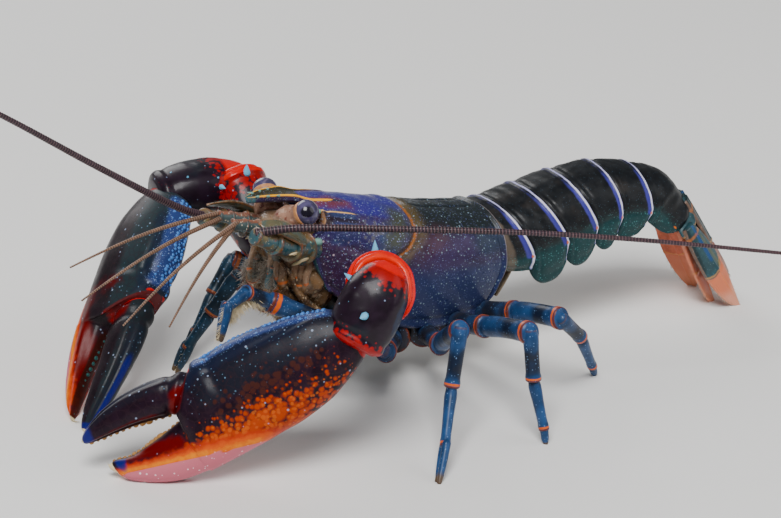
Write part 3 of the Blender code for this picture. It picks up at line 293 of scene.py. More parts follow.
def copies(body, roots, ways, lengths, widths, mark):
    """One small body at many roots: root + (template * size) @ axes, with its mark set to one."""
    template, faces = body
    roots = np.asarray(roots, float)
    count = len(roots)
    direction = unit(np.broadcast_to(np.asarray(ways, float), (count, 3)))
    across, upward = frames(direction, (0.31, 0.17, 0.93))
    axes = np.stack([upward, across, direction], axis=1)
    sizes = np.stack([np.broadcast_to(v, count) for v in (widths, widths, lengths)], axis=1)
    verts = roots[:, None] + np.einsum("nkj,njd->nkd", template * sizes[:, None], axes)
    shift = (np.arange(count) * len(template))[:, None, None]
    return {"verts": verts.reshape(-1, 3), "quads": np.zeros((0, 4), int),
        "tris": (faces + shift).reshape(-1, 3), "marks": {mark: np.ones(count * len(template))}}


def spines(roots, ways, lengths, widths):
    """Cones with a slightly swollen foot."""
    return copies(SPINE, roots, ways, lengths, widths, "tooth")


def knobs(roots, ways, sizes, mark="knob"):
    """Round tubercles of a given radius."""
    return copies(KNOB, roots, ways, sizes, sizes, mark)


def bristles(roots, ways, lengths, width):
    """Thin three-sided hairs."""
    return copies(BRISTLE, roots, ways, lengths, width, "hair")


def tuft(path, lengths, count, ways, spread, width, rng, reach=(0, 1)):
    """Bristles with roots along a path, each leaning by a random amount."""
    roots = spline(path, rng.uniform(*reach, count))
    lean = np.asarray(ways, float) + spread * rng.normal(size=(count, 3))
    return bristles(roots, lean, rng.uniform(*lengths, count), width)


# %% [markdown]
# A finished piece is one mesh object at the origin, so a pattern in its own coordinates never
# slides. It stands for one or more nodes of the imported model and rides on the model's one body.

# %% From shells to a piece
made = []
BOX_LOW, BOX_HIGH = (np.array(corner) / MM + ORIGIN for corner in cad_box)


def piece(name, shells, finish, nodes):
    """Join shells into one mesh object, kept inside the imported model's box and above the floor."""
    verts = np.clip(np.vstack([part["verts"] for part in shells]), BOX_LOW, BOX_HIGH)
    offsets = np.cumsum([0] + [len(part["verts"]) for part in shells])
    quads, tris = (np.vstack([part[kind] + o for part, o in zip(shells, offsets)]).astype(int)
        for kind in ("quads", "tris"))
    mesh = bpy.data.meshes.new(name)
    mesh.vertices.add(len(verts))
    mesh.vertices.foreach_set("co", to_model(verts).ravel())
    mesh.loops.add(quads.size + tris.size)
    mesh.loops.foreach_set("vertex_index", np.hstack([quads.ravel(), tris.ravel()]))
    mesh.polygons.add(len(quads) + len(tris))
    starts = np.hstack([np.arange(len(quads)) * 4, quads.size + np.arange(len(tris)) * 3])
    mesh.polygons.foreach_set("loop_start", starts)
    mesh.polygons.foreach_set("use_smooth", np.ones(len(starts), bool))
    mesh.update(calc_edges=True)
    mesh.validate()
    for key in sorted({key for part in shells for key in part["marks"]}):
        values = np.hstack([part["marks"].get(key, np.zeros(len(part["verts"]))) for part in shells])
        mesh.attributes.new(key, "FLOAT", "POINT").data.foreach_set("value", values)
    obj = bpy.data.objects.new(name, mesh)
    bpy.context.scene.collection.objects.link(obj)
    mesh.materials.append(finish)
    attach(obj, "root")
    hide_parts(*nodes)
    made.append(obj)
    print(f"{name:24s} {len(mesh.polygons):6d} faces")


# %% [markdown]
# ## How wet shell is painted
#
# Living shell shows a dark ground, stains with ragged borders, and a dust of pale dots. One could
# paint that by hand on a texture. Nodes hold at any distance and need no file. A finish is a ground
# colour and a list of layers; a layer is a mask, either a value stored on the mesh or a noise, with
# its border roughened by noise. Cells of a Voronoi pattern give the dots, each with its own size.
# Fine bumps and an uneven roughness break up the highlights, and a thin clear coat gives the wet
# gloss.

# %% Nodes for shell
def tone(red, green, blue, share=1):
    """Screen colour 0..255 to a share of its light: the screen curve undone, a tenth less grey."""
    screen = np.array([red, green, blue]) / 255
    light = np.where(screen > 0.04, ((screen + 0.055) / 1.055) ** 2.4, screen / 12.92)
    grey = light @ (0.3, 0.5, 0.2)
    return (*(share * np.clip(grey + (light - grey) * 1.1, 0.0005, 1)).tolist(), 1)


class Finish:
    """One Principled material, laid on step by step. Pitches are millimetres, colours 0..255."""

    def __init__(self, name, ground, roughness=0.34, coat=0.1, specular=0.35):
        self.mat = bpy.data.materials.new(name)
        self.mat.use_nodes = True
        self.tree = self.mat.node_tree
        self.shader = self.tree.nodes["Principled BSDF"]
        self.plug(self.shader, {"Coat Weight": coat, "Coat Roughness": 0.16, "Specular IOR Level": specular})
        self.coords = self.node("TexCoord").outputs["Object"]
        self.roughness, self.height, self.smooth = roughness, None, None
        self.colour = self.blend(tone(*ground, 0.7), tone(*ground, 1.3),
            self.ranged(self.noise(420, 4), 0.3, 0.72))

    def plug(self, node, sockets):
        """Give each socket its value, or link it where the value is another node's output."""
        for key, value in sockets.items():
            if isinstance(value, bpy.types.NodeSocket):
                self.tree.links.new(value, node.inputs[key])
            else:
                node.inputs[key].default_value = value

    def node(self, kind, sockets=None, **settings):
        """New node of a kind, with its settings made and its sockets filled."""
        new = self.tree.nodes.new("ShaderNode" + kind)
        for key, value in settings.items():
            setattr(new, key, value)
        self.plug(new, sockets or {})
        return new

    def maths(self, operation, a, b):
        """One sum, difference or product."""
        return self.node("Math", {0: a, 1: b}, operation=operation).outputs[0]

    def blend(self, a, b, factor):
        """Colour a + (b - a) * factor."""
        return self.node("Mix", {6: a, 7: b, 0: factor}, data_type="RGBA").outputs[2]

    def mark(self, name):
        """Value stored on the mesh under a name."""
        return self.node("Attribute", attribute_name=name).outputs["Fac"]

    def ranged(self, value, low, high, to_low=0, to_high=1):
        """Smooth step of a value from one range to another."""
        return self.node("MapRange", {"Value": value, "From Min": low, "From Max": high, "To Min": to_low,
            "To Max": to_high}, interpolation_type="SMOOTHSTEP").outputs["Result"]

    def noise(self, scale, detail=3):
        """Noise in the object's own space."""
        return self.node("TexNoise", {"Scale": scale, "Detail": detail, "Vector": self.coords}).outputs["Fac"]

    def cells(self, pitch, coords, **settings):
        """Voronoi pattern with cells of a given pitch."""
        return self.node("TexVoronoi", {"Scale": 1000 / pitch, "Vector": coords}, **settings).outputs

    def lay(self, colour, mask):
        """Cover what is there with a colour, as far as the mask says."""
        self.colour = self.blend(self.colour, tone(*colour), mask)
        return mask

    def cloud(self, colour, low, high, pitch, amount):
        """Paint a colour where a plain noise passes a soft border."""
        self.lay(colour, self.ranged(self.noise(1000 / pitch), low, high, 0, amount))

    def stain(self, colour, mark, low, high, ragged, pitch=1.6, amount=1):
        """Paint a colour where a stored value passes a soft border that noise makes ragged."""
        value = self.mark(mark)
        push = self.maths("MULTIPLY", self.maths("SUBTRACT", self.noise(1000 / pitch), 0.5), ragged)
        mask = self.ranged(self.maths("ADD", value, push), low, high, 0, amount)
        return self.lay(colour, self.maths("MULTIPLY", mask, self.ranged(value, 0, 0.08)))

    def wavering(self, pitch):
        """The object's coordinates, pushed by noise up to half a pitch, so that cells aren't round."""
        wobble = self.node("TexNoise", {"Scale": 900 / pitch, "Vector": self.coords}).outputs["Color"]
        small = self.node("VectorMath", {0: wobble, "Scale": 0.0005 * pitch}, operation="SCALE").outputs[0]
        return self.node("VectorMath", {0: self.coords, 1: small}, operation="ADD").outputs[0]

    def net(self, colour, pitch, line, amount):
        """Network of fine lines between the cells of a Voronoi pattern."""
        gap = self.cells(pitch, self.wavering(pitch), feature="DISTANCE_TO_EDGE")["Distance"]
        self.lay(colour, self.ranged(gap, line, line * 2.2, amount, 0))

    def islands(self, colour, mark, pitch=1.2, push=0.85, amount=1, loose=0.4):
        """Round cells of colour that grow and run together as the mark goes from 0 to 1."""
        far = self.cells(pitch, self.wavering(pitch))["Distance"]
        value = self.mark(mark)
        uneven = self.maths("MULTIPLY", self.maths("SUBTRACT", self.noise(160, 2), 0.5), loose)
        size = self.maths("MULTIPLY", self.maths("ADD", value, uneven), push)
        mask = self.ranged(self.maths("SUBTRACT", size, far), -0.08, 0.2, 0, amount)
        self.lay(colour, self.maths("MULTIPLY", mask, self.ranged(value, 0, 0.15)))

    def dots(self, colour, pitch=0.9, size=0.24, mark=None, amount=0.9, raise_by=0):
        """Round dots of uneven size: a Voronoi cell's distance against its own random radius."""
        cells = self.cells(pitch, self.coords)
        chance = self.node("SeparateColor", {0: cells["Color"]}).outputs[0]
        inside = self.maths("SUBTRACT", self.maths("MULTIPLY", chance, size), cells["Distance"])
        mask = self.ranged(inside, -0.02, 0.06, 0, amount)
        if mark is not None:
            mask = self.maths("MULTIPLY", mask, self.mark(mark))
        self.lay(colour, mask)
        if raise_by:
            self.rise(mask, raise_by)

    def rise(self, value, amount):
        """Add to the height that the bump node reads."""
        part = self.maths("MULTIPLY", value, amount)
        self.height = part if self.height is None else self.maths("ADD", self.height, part)

    def grain(self, pitch, amount):
        """Fine uneven surface of a given pitch."""
        self.rise(self.noise(1000 / pitch), amount)

    def pits(self, pitch, amount):
        """Small pits, one to a Voronoi cell."""
        self.rise(self.ranged(self.cells(pitch, self.coords)["Distance"], 0.02, 0.22), amount)

    def done(self, bump, depth, spread=0.1):
        """Connect colour, roughness and bump, and hand over the material; depth is millimetres."""
        rough = self.ranged(self.noise(700), 0.25, 0.75, self.roughness - spread, self.roughness + spread)
        if self.smooth is not None:
            rough = self.maths("MULTIPLY", rough, self.ranged(self.smooth, 0.2, 0.8, 1, 0.5))
        self.plug(self.shader, {"Base Color": self.colour, "Roughness": rough})
        if self.height is not None:
            relief = self.node("Bump", {"Strength": bump, "Distance": MM * depth, "Height": self.height})
            self.plug(self.shader, {"Normal": relief.outputs["Normal"]})
        return self.mat


print("finish helpers ready")

# %% [markdown]
# ## Camera, floor and light
#
# The view is settled before any skin is made, because every part is judged through it. The camera
# stands left of the head with a long lens, 35 degrees round and 22.5 degrees up. The floor is plain
# and pale, and the light is soft: one broad lamp above and to the left, two weak ones on the other
# sides, and a pale world.

# %% Camera
def stand(name, data, place, back):
    """New object at a place in metres, its own Z along back and its X level: X = up x back."""
    obj = bpy.data.objects.new(name, data)
    bpy.context.scene.collection.objects.link(obj)
    side = unit(np.cross(UP, back))
    axes = np.column_stack([side, np.cross(back, side), back, place])
    obj.matrix_world = Matrix([*axes.tolist(), [0, 0, 0, 1]])
    return obj


FOCAL_PIXELS, PICTURE_PIXELS = 2500, 781
ROUND, ABOVE = 35, 22.5  # degrees
CAMERA_AT = (-0.2272, -0.34905, 0.2002)
camera_data = bpy.data.cameras.new("camera")
camera_data.sensor_width = 36
camera_data.lens = FOCAL_PIXELS / PICTURE_PIXELS * camera_data.sensor_width
camera_data.clip_start = 0.01
camera_data.clip_end = 20
look = swing(swing((0, 1, 0), (1, 0, 0), ROUND), (0, 0, -1), ABOVE)
bpy.context.scene.camera = stand("camera", camera_data, CAMERA_AT, -look)
print("camera lens", round(camera_data.lens, 1), "mm")

# %% Floor
REACH = 4
floor_mesh = bpy.data.meshes.new("floor")
floor_mesh.from_pydata([(-REACH, -REACH, 0), (REACH, -REACH, 0), (REACH, REACH, 0), (-REACH, REACH, 0)],
    [], [(0, 1, 2, 3)])
floor = bpy.data.objects.new("floor", floor_mesh)
bpy.context.scene.collection.objects.link(floor)
paper = bpy.data.materials.new("floor_paper")
paper.use_nodes = True
dull = paper.node_tree.nodes["Principled BSDF"].inputs
dull["Base Color"].default_value, dull["Roughness"].default_value = (0.86, 0.85, 0.83, 1), 0.85
floor_mesh.materials.append(paper)
print("floor", 2 * REACH, "m wide")

# %% Lamps and sky
AIM = np.array([0, 0, 0.02])
for name, place, size, power in (("key", (-0.35, -0.45, 0.9), 0.5, 13), ("fill", (0.7, -0.7, 0.6), 0.8, 3),
        ("rim", (0.1, 0.9, 0.5), 0.6, 5)):
    lamp = bpy.data.lights.new(name, "AREA")
    lamp.energy, lamp.size = power, size
    stand(name, lamp, place, unit(place - AIM))
world = bpy.data.worlds.new("studio")
bpy.context.scene.world = world
world.use_nodes = True
sky = world.node_tree.nodes["Background"].inputs
sky["Color"].default_value, sky["Strength"].default_value = (0.93, 0.96, 1, 1), 0.16
print("three lamps and a pale world")

# %% [markdown]
# ## Carapace
#
# The carapace is the saddle that covers head and chest. It is one plate on the real animal, with a
# deep groove across it behind the head. A subdivided cage could give its form, but the groove, the
# rims and the low keels need exact places, so a section is carried along x, and its height, floor,
# waist and half width come from keys.

# %% Carapace section
CARAPACE_TOP = [(-43, 39.6), (-36, 38.4), (-27, 35.9), (-18, 33), (-9, 30.6), (1, 28.6)]
CARAPACE_FLOOR = [(-43, 27), (-37, 21.5), (-30, 15.5), (-21, 11.3), (-13, 10.1), (-6, 10.2), (1, 13)]
CARAPACE_WAIST = [(-43, 31.5), (-30, 25.5), (-15, 21), (1, 20.5)]
CARAPACE_HALF = [(-43, 7.6), (-36, 9), (-27, 10.6), (-16, 11.8), (-8, 11.7), (-2, 10.8), (1, 10.2)]
GROOVE_X = [(-50, -33.5), (-20, -30.5), (5, -27), (28, -21.5), (48, -19), (90, -18)]
REAR_X = [(-50, -5), (-30, -1.6), (-5, 0.7), (40, 0.8), (90, 0.3)]
FRONT_X = [(-50, -38.4), (-25, -40.6), (0, -41.8), (14, -42.2), (30, -39.6), (45, -38.2), (62, -39.4),
    (90, -42)]
LOW_ANGLE = -50
BACK_SQUARE, SIDE_SQUARE, LOWER_SQUARE = 0.96, 0.88, 0.42  # exponents: 1 is round, 0 is square


def carapace_point(x, angle):
    """Section of the shell at x: above the waist a superellipse over the back, below it a boxy
    turn to the lower edge. Angles are degrees, 0 the left side, 90 the back, 180 the right."""
    rad = np.radians(angle)
    rise = np.sin(rad)
    top, low, waist, half = (profile(keys, x) for keys in (
        CARAPACE_TOP, CARAPACE_FLOOR, CARAPACE_WAIST, CARAPACE_HALF))
    over = rise >= 0
    z_over = waist + (top - waist) * np.abs(rise) ** BACK_SQUARE
    z_under = waist + (waist - low) * rise / math.sin(math.radians(-LOW_ANGLE))
    aside = half * spow(np.cos(rad), np.where(over, SIDE_SQUARE, LOWER_SQUARE))
    return vectors(x, -aside, np.where(over, z_over, z_under))


angle = np.linspace(LOW_ANGLE, 180 - LOW_ANGLE, 230)[None]
side = np.where(angle <= 90, angle, 180 - angle)
front, groove, rear = (profile(keys, side) for keys in (FRONT_X, GROOVE_X, REAR_X))
x = mix(front, rear, runs((0, 0.06, 12), (0.06, 0.95, 180), (0.95, 1, 18))[:, None])
from_front, from_groove, from_rear = x - front, x - groove, rear - x
points = carapace_point(x, angle)
outward = unit(points - vectors(x, 0, profile(CARAPACE_WAIST, x)))
print("carapace grid", points.shape[:2])

# %% [markdown]
# Grooves, rims and keels push each point of that grid outward or inward, by bell curves of the
# distance to their lines. The angle, folded to one side, and the distances to the front rim, the
# groove and the rear rim say where a point lies, so both sides come out alike.

# %% Carapace relief
deep = 0.95 * (0.35 + 0.65 * step(-48, -10, side)) * (1 - 0.35 * bell(side, 90, 22))
push = -deep * bell(from_groove, 0, 0.85)
push += 0.35 * bell(from_groove, -2.2, 1.5) * step(0, 40, side) + 0.22 * bell(from_groove, 2, 1.4)
# a second furrow curls forward from the groove across the cheek
push -= 0.45 * bell(side, 12 - 0.9 * (x + 30), 4.5) * step(-38, -34, x) * step(-24.5, -28, x)
push += (0.3 * bell(from_rear, 0.55, 0.4) - 0.32 * bell(from_rear, 1.45, 0.4)
    - 0.75 * step(0.35, -0.05, from_rear))
push += (0.24 * bell(from_front, 0.6, 0.45) - 0.2 * bell(from_front, 1.5, 0.5)
    - 0.7 * step(0.4, -0.05, from_front))
push += 0.25 * bell(side - LOW_ANGLE, 4, 2.4) - 0.2 * bell(side - LOW_ANGLE, 11, 3)
# the narrow strip along the middle of the chest, between two fine furrows
areola = step(-17.5, -14, x) * step(-1, -4, x)
push -= 0.3 * bell(90 - side, 11 - 3 * bell(x, -9, 7), 1.7) * areola
# the keel behind each eye, which ends forward in a spine
push += 0.62 * bell(side, 52, 4.2) * step(-28.5, -32.5, x) * step(-41, -38.6, x)
push -= 0.22 * bell(side, 41, 5) * step(-30, -33, x)
push += 0.05 * ripple(points, 5, 1)
# coarse grains on the cheek
cheek = step(34, 16, side) * step(1.5, -1.5, from_groove) * step(0.5, 2, from_front)
push += 0.22 * (np.clip(ripple(points, 1.5, 2), 0.25, 1) - 0.25) * cheek
carapace = shell(points + outward * push[..., None], {
    "groove": bell(from_groove, 0, 0.75) * step(-46, -20, side),
    "ochre": bell(from_groove, 0.4, 2.1) * step(4, 16, side),
    "head": step(0.6, -0.6, from_groove),
    "cheek": cheek * step(30, 8, side) * step(-24, -30, x),
    "rear_rim": bell(from_rear, 0.35, 0.3),
    "front_rim": bell(from_front, 0.25, 0.25) * step(26, 8, side),
    "orbit": step(3.4, 0.8, from_front) * bell(side, 44, 15),
    "orbit_rim": bell(from_front, 0.25, 0.35) * bell(side, 42, 15),
    "stripe": bell(side, 45.5, 3.2) * step(-27.5, -32, x) * step(-40.5, -38.6, x),
    "crown": step(46, 62, side) * step(0.6, -1.5, from_groove),
    "web": bell(from_groove, -8, 3.4) * bell(side, 38, 15),
    "plum": bell(from_groove, 4.5, 4.5) * bell(side, 34, 26),
    "teal": step(-13, -4, x) * bell(side, 26, 26),
    "keel": bell(side, 52.5, 1.3) * step(-29.5, -32.5, x) * step(-41.5, -39, x),
    "olive": bell(from_groove, -3.6, 3) * step(8, 30, side) * step(90, 60, side),
    "pale": bell(from_groove, 1.8, 2.4) * bell(side, -8, 24),
    "back": step(18, 62, side) * step(-1, 1, from_groove),
    "flank": step(24, -12, side) * step(-1, 3, from_groove),
    "red": bell(side, 71, 14) * bell(x, -35, 6),
    "deep": bell(side, 30, 16) * step(0.6, -0.6, from_groove) * step(-26, -32, x),
}, start=(-38, 0, 31), end=(-1, 0, 21))
print("deepest furrow", round(float(-push.min()), 2), "mm")

# %% [markdown]
# The rostrum is the blade between the eyes. Its two raised edges run back onto the head and its top
# is a shallow trough, so its section is a flat top with a sharp bell near each edge over a deeper
# belly.

# %% Rostrum
ROSTRUM_TIP = np.array([-50.2, 0, 40.6])
ROSTRUM_ROOT = np.array([-33, 0, 37.6])
ROSTRUM_HALF = 3.5
FADE_IN = -0.28  # share of the length where the blade rises out of the head
HALF_KEYS = [(-0.25, 1.12), (0, 1), (0.3, 1), (0.7, 0.66), (0.9, 0.36), (1, 0.1)]


def rostrum_half(t):
    """Half width of the rostrum at a share of its length."""
    return ROSTRUM_HALF * profile(HALF_KEYS, t)


def head_height(x, y):
    """Height of the plain head shell above a place: its section solved for the given y."""
    top, waist, half = (profile(keys, x) for keys in (CARAPACE_TOP, CARAPACE_WAIST, CARAPACE_HALF))
    cosine = np.clip(np.abs(y) / half, 0, 1) ** (1 / SIDE_SQUARE)
    return waist + (top - waist) * (1 - cosine ** 2) ** (BACK_SQUARE / 2)


t = runs((FADE_IN, 0.9, 90), (0.9, 0.995, 16))[:, None]
v = np.sin(np.linspace(-0.5 * np.pi, 0.5 * np.pi, 61))[None]
base_x, _, base_z = np.moveaxis(mix(ROSTRUM_ROOT, ROSTRUM_TIP, t[..., None]), -1, 0)
free = step(-37.5, -42.5, base_x)
flat_top = mix(head_height(base_x, rostrum_half(t) * v) - 0.12, base_z + 0.66 * arc(t), free)
ridge = profile([(FADE_IN, 0), (0, 0.3), (0.35, 0.5), (0.8, 0.6), (1, 0.25)], t) * bell(np.abs(v), 0.86, 0.11)
side_drop = 0.55 * step(0.94, 1, np.abs(v)) + 0.5 * step(0.02, FADE_IN, t)
top_z = flat_top + ridge - 0.16 * (1 - v * v) * free - side_drop
under_v = v[:, -2:0:-1]
under_z = top_z[:, :1] - 0.1 - profile([(FADE_IN, 2.6), (0.4, 1.3), (1, 0.4)], t) * (1 - under_v ** 2) ** 0.6
on_top = lambda value: on_first(value, top_z.shape, under_v.shape[1])
rostrum = shell(np.hstack([vectors(base_x, rostrum_half(t) * v, top_z),
    vectors(base_x, rostrum_half(t) * 0.97 * under_v, under_z)]), {
    "carina": on_top(bell(np.abs(v), 0.88, 0.085) * step(-0.04, 0.14, t)),
    "trough": on_top(step(0.95, 0.8, np.abs(v)) * step(0.02, 0.4, t)),
    "tip": step(0.86, 0.98, t)}, end=ROSTRUM_TIP + (-0.3, 0, 0.15))
print("rostrum grid", top_z.shape)

# %% [markdown]
# Three small teeth stand on each edge of the blade, a spine ends each keel behind the eyes, and one
# more stands on each cheek. Soft hairs fringe the blade toward its tip. All are copies of small
# turned bodies.

# %% Teeth, spines and hairs of the head
def on_edge(t, sign, share, lift, base):
    """Place by the blade's edge: a share of the half width aside, an arch of the lift above."""
    return mix(ROSTRUM_ROOT, ROSTRUM_TIP, t[:, None]) + vectors(
        0, sign * rostrum_half(t) * share, lift * np.sin(np.pi * t) + base)


both = np.array([-1, 1])
tooth_t, tooth_sign = np.tile([0.68, 0.79, 0.9], 2), np.repeat(both, 3)
teeth = spines(on_edge(tooth_t, tooth_sign, 0.86, 0.62, 0.3), vectors(-0.9, tooth_sign * 0.35, 0.3), 0.9, 0.28)
keel_spines = spines(carapace_point(-38.9, 90 - both * 38) + (0, 0, 0.25),
    vectors(-1, both * 0.05, 0.18), 1.7, 0.5)
cheek_spines = spines(carapace_point(-40.8, 90 - both * 76) + vectors(0, -both * 0.4, 0),
    vectors(-1, both * 0.1, 0.12), 2.2, 0.75)
rng = np.random.default_rng(SEED)
hair_t, hair_sign = rng.uniform(0.62, 1, 60), rng.choice(both, 60)
hair_ways = vectors(-0.5 + 0.2 * rng.normal(size=60), hair_sign * 0.8, 0.25 + 0.3 * rng.normal(size=60))
rostrum_hairs = bristles(on_edge(hair_t, hair_sign, 0.98, 0.6, -0.1), hair_ways,
    rng.uniform(0.6, 1.2, 60), 0.035)
print("teeth, spines and hairs of the head ready")

# %% [markdown]
# The head is blue-violet, the chest olive-black over a slate flank, and both carry dense pale
# dots. The groove between them is bare tan shell. Each stain reads the value that the surface
# stored for it.

# %% Carapace finish
f = Finish("carapace_shell", (46, 37, 64), roughness=0.36, coat=0.08, specular=0.22)
f.cloud((56, 42, 76), 0.46, 0.62, 7, 0.6)
f.stain((28, 36, 34), "back", 0.3, 0.75, 0.5, 3, 0.9)
f.stain((70, 40, 52), "plum", 0.2, 1.2, 0.5, 3, 0.7)
f.stain((38, 50, 86), "flank", 0.3, 0.9, 0.5, 3.5, 0.8)
f.stain((36, 58, 68), "teal", 0.4, 1, 0.5, 3.5, 0.6)
f.stain((46, 42, 86), "head", 0.4, 0.6, 0.25, 1.6)
patches = f.noise(200)
for colour, low, high in (((70, 46, 76), 0.48, 0.66), ((48, 62, 96), 0.52, 0.36)):
    f.lay(colour, f.maths("MULTIPLY", f.ranged(patches, low, high, 0, 0.7), f.mark("head")))
f.stain((50, 46, 124), "crown", 0.3, 1.1, 0.9, 4, 0.85)
f.stain((32, 28, 70), "deep", 0.4, 0.8, 0.6, 3, 0.6)
f.stain((62, 40, 66), "cheek", 0.4, 0.9, 0.9, 3, 0.85)
f.stain((112, 54, 36), "red", 0.25, 0.95, 0.9, 2.2, 0.75)
f.stain((58, 44, 34), "orbit", 0.3, 0.85, 0.7, 1.4, 0.85)
f.stain((36, 24, 34), "stripe", 0.4, 0.9, 0.6, 1.4, 0.85)
f.islands((96, 94, 92), "web", 0.9, 0.7, 0.6)
f.stain((62, 66, 44), "olive", 0.15, 1.1, 0.7, 1.6, 0.85)
f.stain((92, 108, 98), "pale", 0.4, 0.85, 0.7, 1.6, 0.75)
f.stain((88, 74, 46), "ochre", 0.1, 1.1, 0.8, 1.6, 0.7)
f.stain((164, 98, 44), "groove", 0.62, 1, 0.5, 0.9, 0.75)
f.stain((150, 140, 140), "rear_rim", 0.45, 0.8, 0.2, 1.2, 0.85)
f.stain((56, 104, 108), "front_rim", 0.4, 0.8, 0.4, 1, 0.8)
f.stain((160, 122, 90), "orbit_rim", 0.4, 0.8, 0.5, 0.8, 0.8)
f.stain((52, 50, 38), "trough", 0.35, 0.6, 0.4, 1)
f.dots((110, 120, 168), 0.33, 0.36, None, 0.5, 0.4)
f.dots((150, 150, 196), 0.5, 0.3, "head", 0.7, 0.5)
f.dots((140, 162, 172), 0.62, 0.31, None, 0.65, 0.6)
f.dots((206, 186, 196), 0.85, 0.27, "cheek", 0.85, 0.9)
f.dots((168, 196, 222), 1.2, 0.3, "pale", 0.9, 0.6)
f.dots((146, 134, 96), 0.3, 0.36, "trough", 0.7)
f.stain((232, 184, 116), "keel", 0.45, 0.8, 0.3, 0.8)
f.stain((246, 176, 52), "carina", 0.4, 0.7, 0.25, 0.6)
f.stain((70, 130, 130), "tip", 0.4, 0.8, 0.3, 0.8, 0.5)
f.stain((120, 160, 150), "tooth", 0.3, 0.6, 0.2, 0.6)
f.stain((130, 120, 105), "hair", 0.3, 0.6, 0, 0.6)
f.grain(0.5, 0.5)
f.pits(0.45, 0.35)
piece("carapace", [carapace, rostrum, teeth, keel_spines, cheek_spines, rostrum_hairs],
    f.done(bump=0.35, depth=0.14), ["carapace_head", "carapace_thorax"])

# %% [markdown]
# ## Abdomen
#
# Six stiff rings make the abdomen. Each is an arch over the back with a hanging side plate, and its
# rear rim slides over the next ring's front. The rings are made apart, not as one ridged tube,
# because the real ones are separate plates. A section is a superellipse arch that runs down into
# the plates; it is carried along the curved back line, and a swelling factor makes the tucked
# front, the furrow and the proud rear rim.

# %% Back line
BACK_LINE = [(-3, 0, 28), (3.4, 0, 28.5), (11.2, -0.4, 29.6), (19.1, -1.2, 30.9),
    (27.4, -2.6, 31.6), (35, -4.2, 30.4), (42.1, -5.7, 27.8), (46.8, -7, 21.6)]
BACK_LENGTH = float(np.linalg.norm(np.subtract(BACK_LINE[-1], BACK_LINE[0]))) * 1.12
RING_ENDS = (0, 0.143, 0.286, 0.429, 0.571, 0.714, 1)
RING_HALF = (9.3, 10.4, 10.3, 9.8, 9.2, 8.4, 6.8)
RING_ARCH = (8.4, 9.2, 9.2, 8.8, 8, 7, 5.6)
PLATE_DROP = (3.2, 7.4, 6.8, 6.2, 5.4, 3.4)
PLATE_SWEEP = 3
PLATE_TOP = 0.74
SWELL = [(-0.16, 0.86), (0, 0.925), (0.07, 0.955), (0.14, 0.978), (0.2, 0.974), (0.28, 0.99), (0.55, 1),
    (0.82, 1.008), (0.9, 1.004), (0.955, 1.024), (1, 1.02), (1.03, 1)]


def back_frame(t):
    """Point of the back line with its tangent, and the upward and left directions there."""
    tangent = unit(spline(BACK_LINE, np.minimum(t + 0.02, 1)) - spline(BACK_LINE, np.maximum(t - 0.02, 0)))
    left = -unit(np.cross(UP, tangent))
    up = unit(np.cross(left, tangent))
    return spline(BACK_LINE, t), tangent, up * np.where(up[..., 2:] < 0, -1, 1), left


def ring_size(t, sizes):
    """A size at a share of the back line, read between the ring borders."""
    return profile(list(zip(RING_ENDS, sizes)), t)


print("back line", round(BACK_LENGTH, 1), "mm")

# %% [markdown]
# One ring is a closed band: an outer face from the left plate's edge over the back to the right
# one, and an inner face back, which is the plates' inner side and, between them, the belly skin.

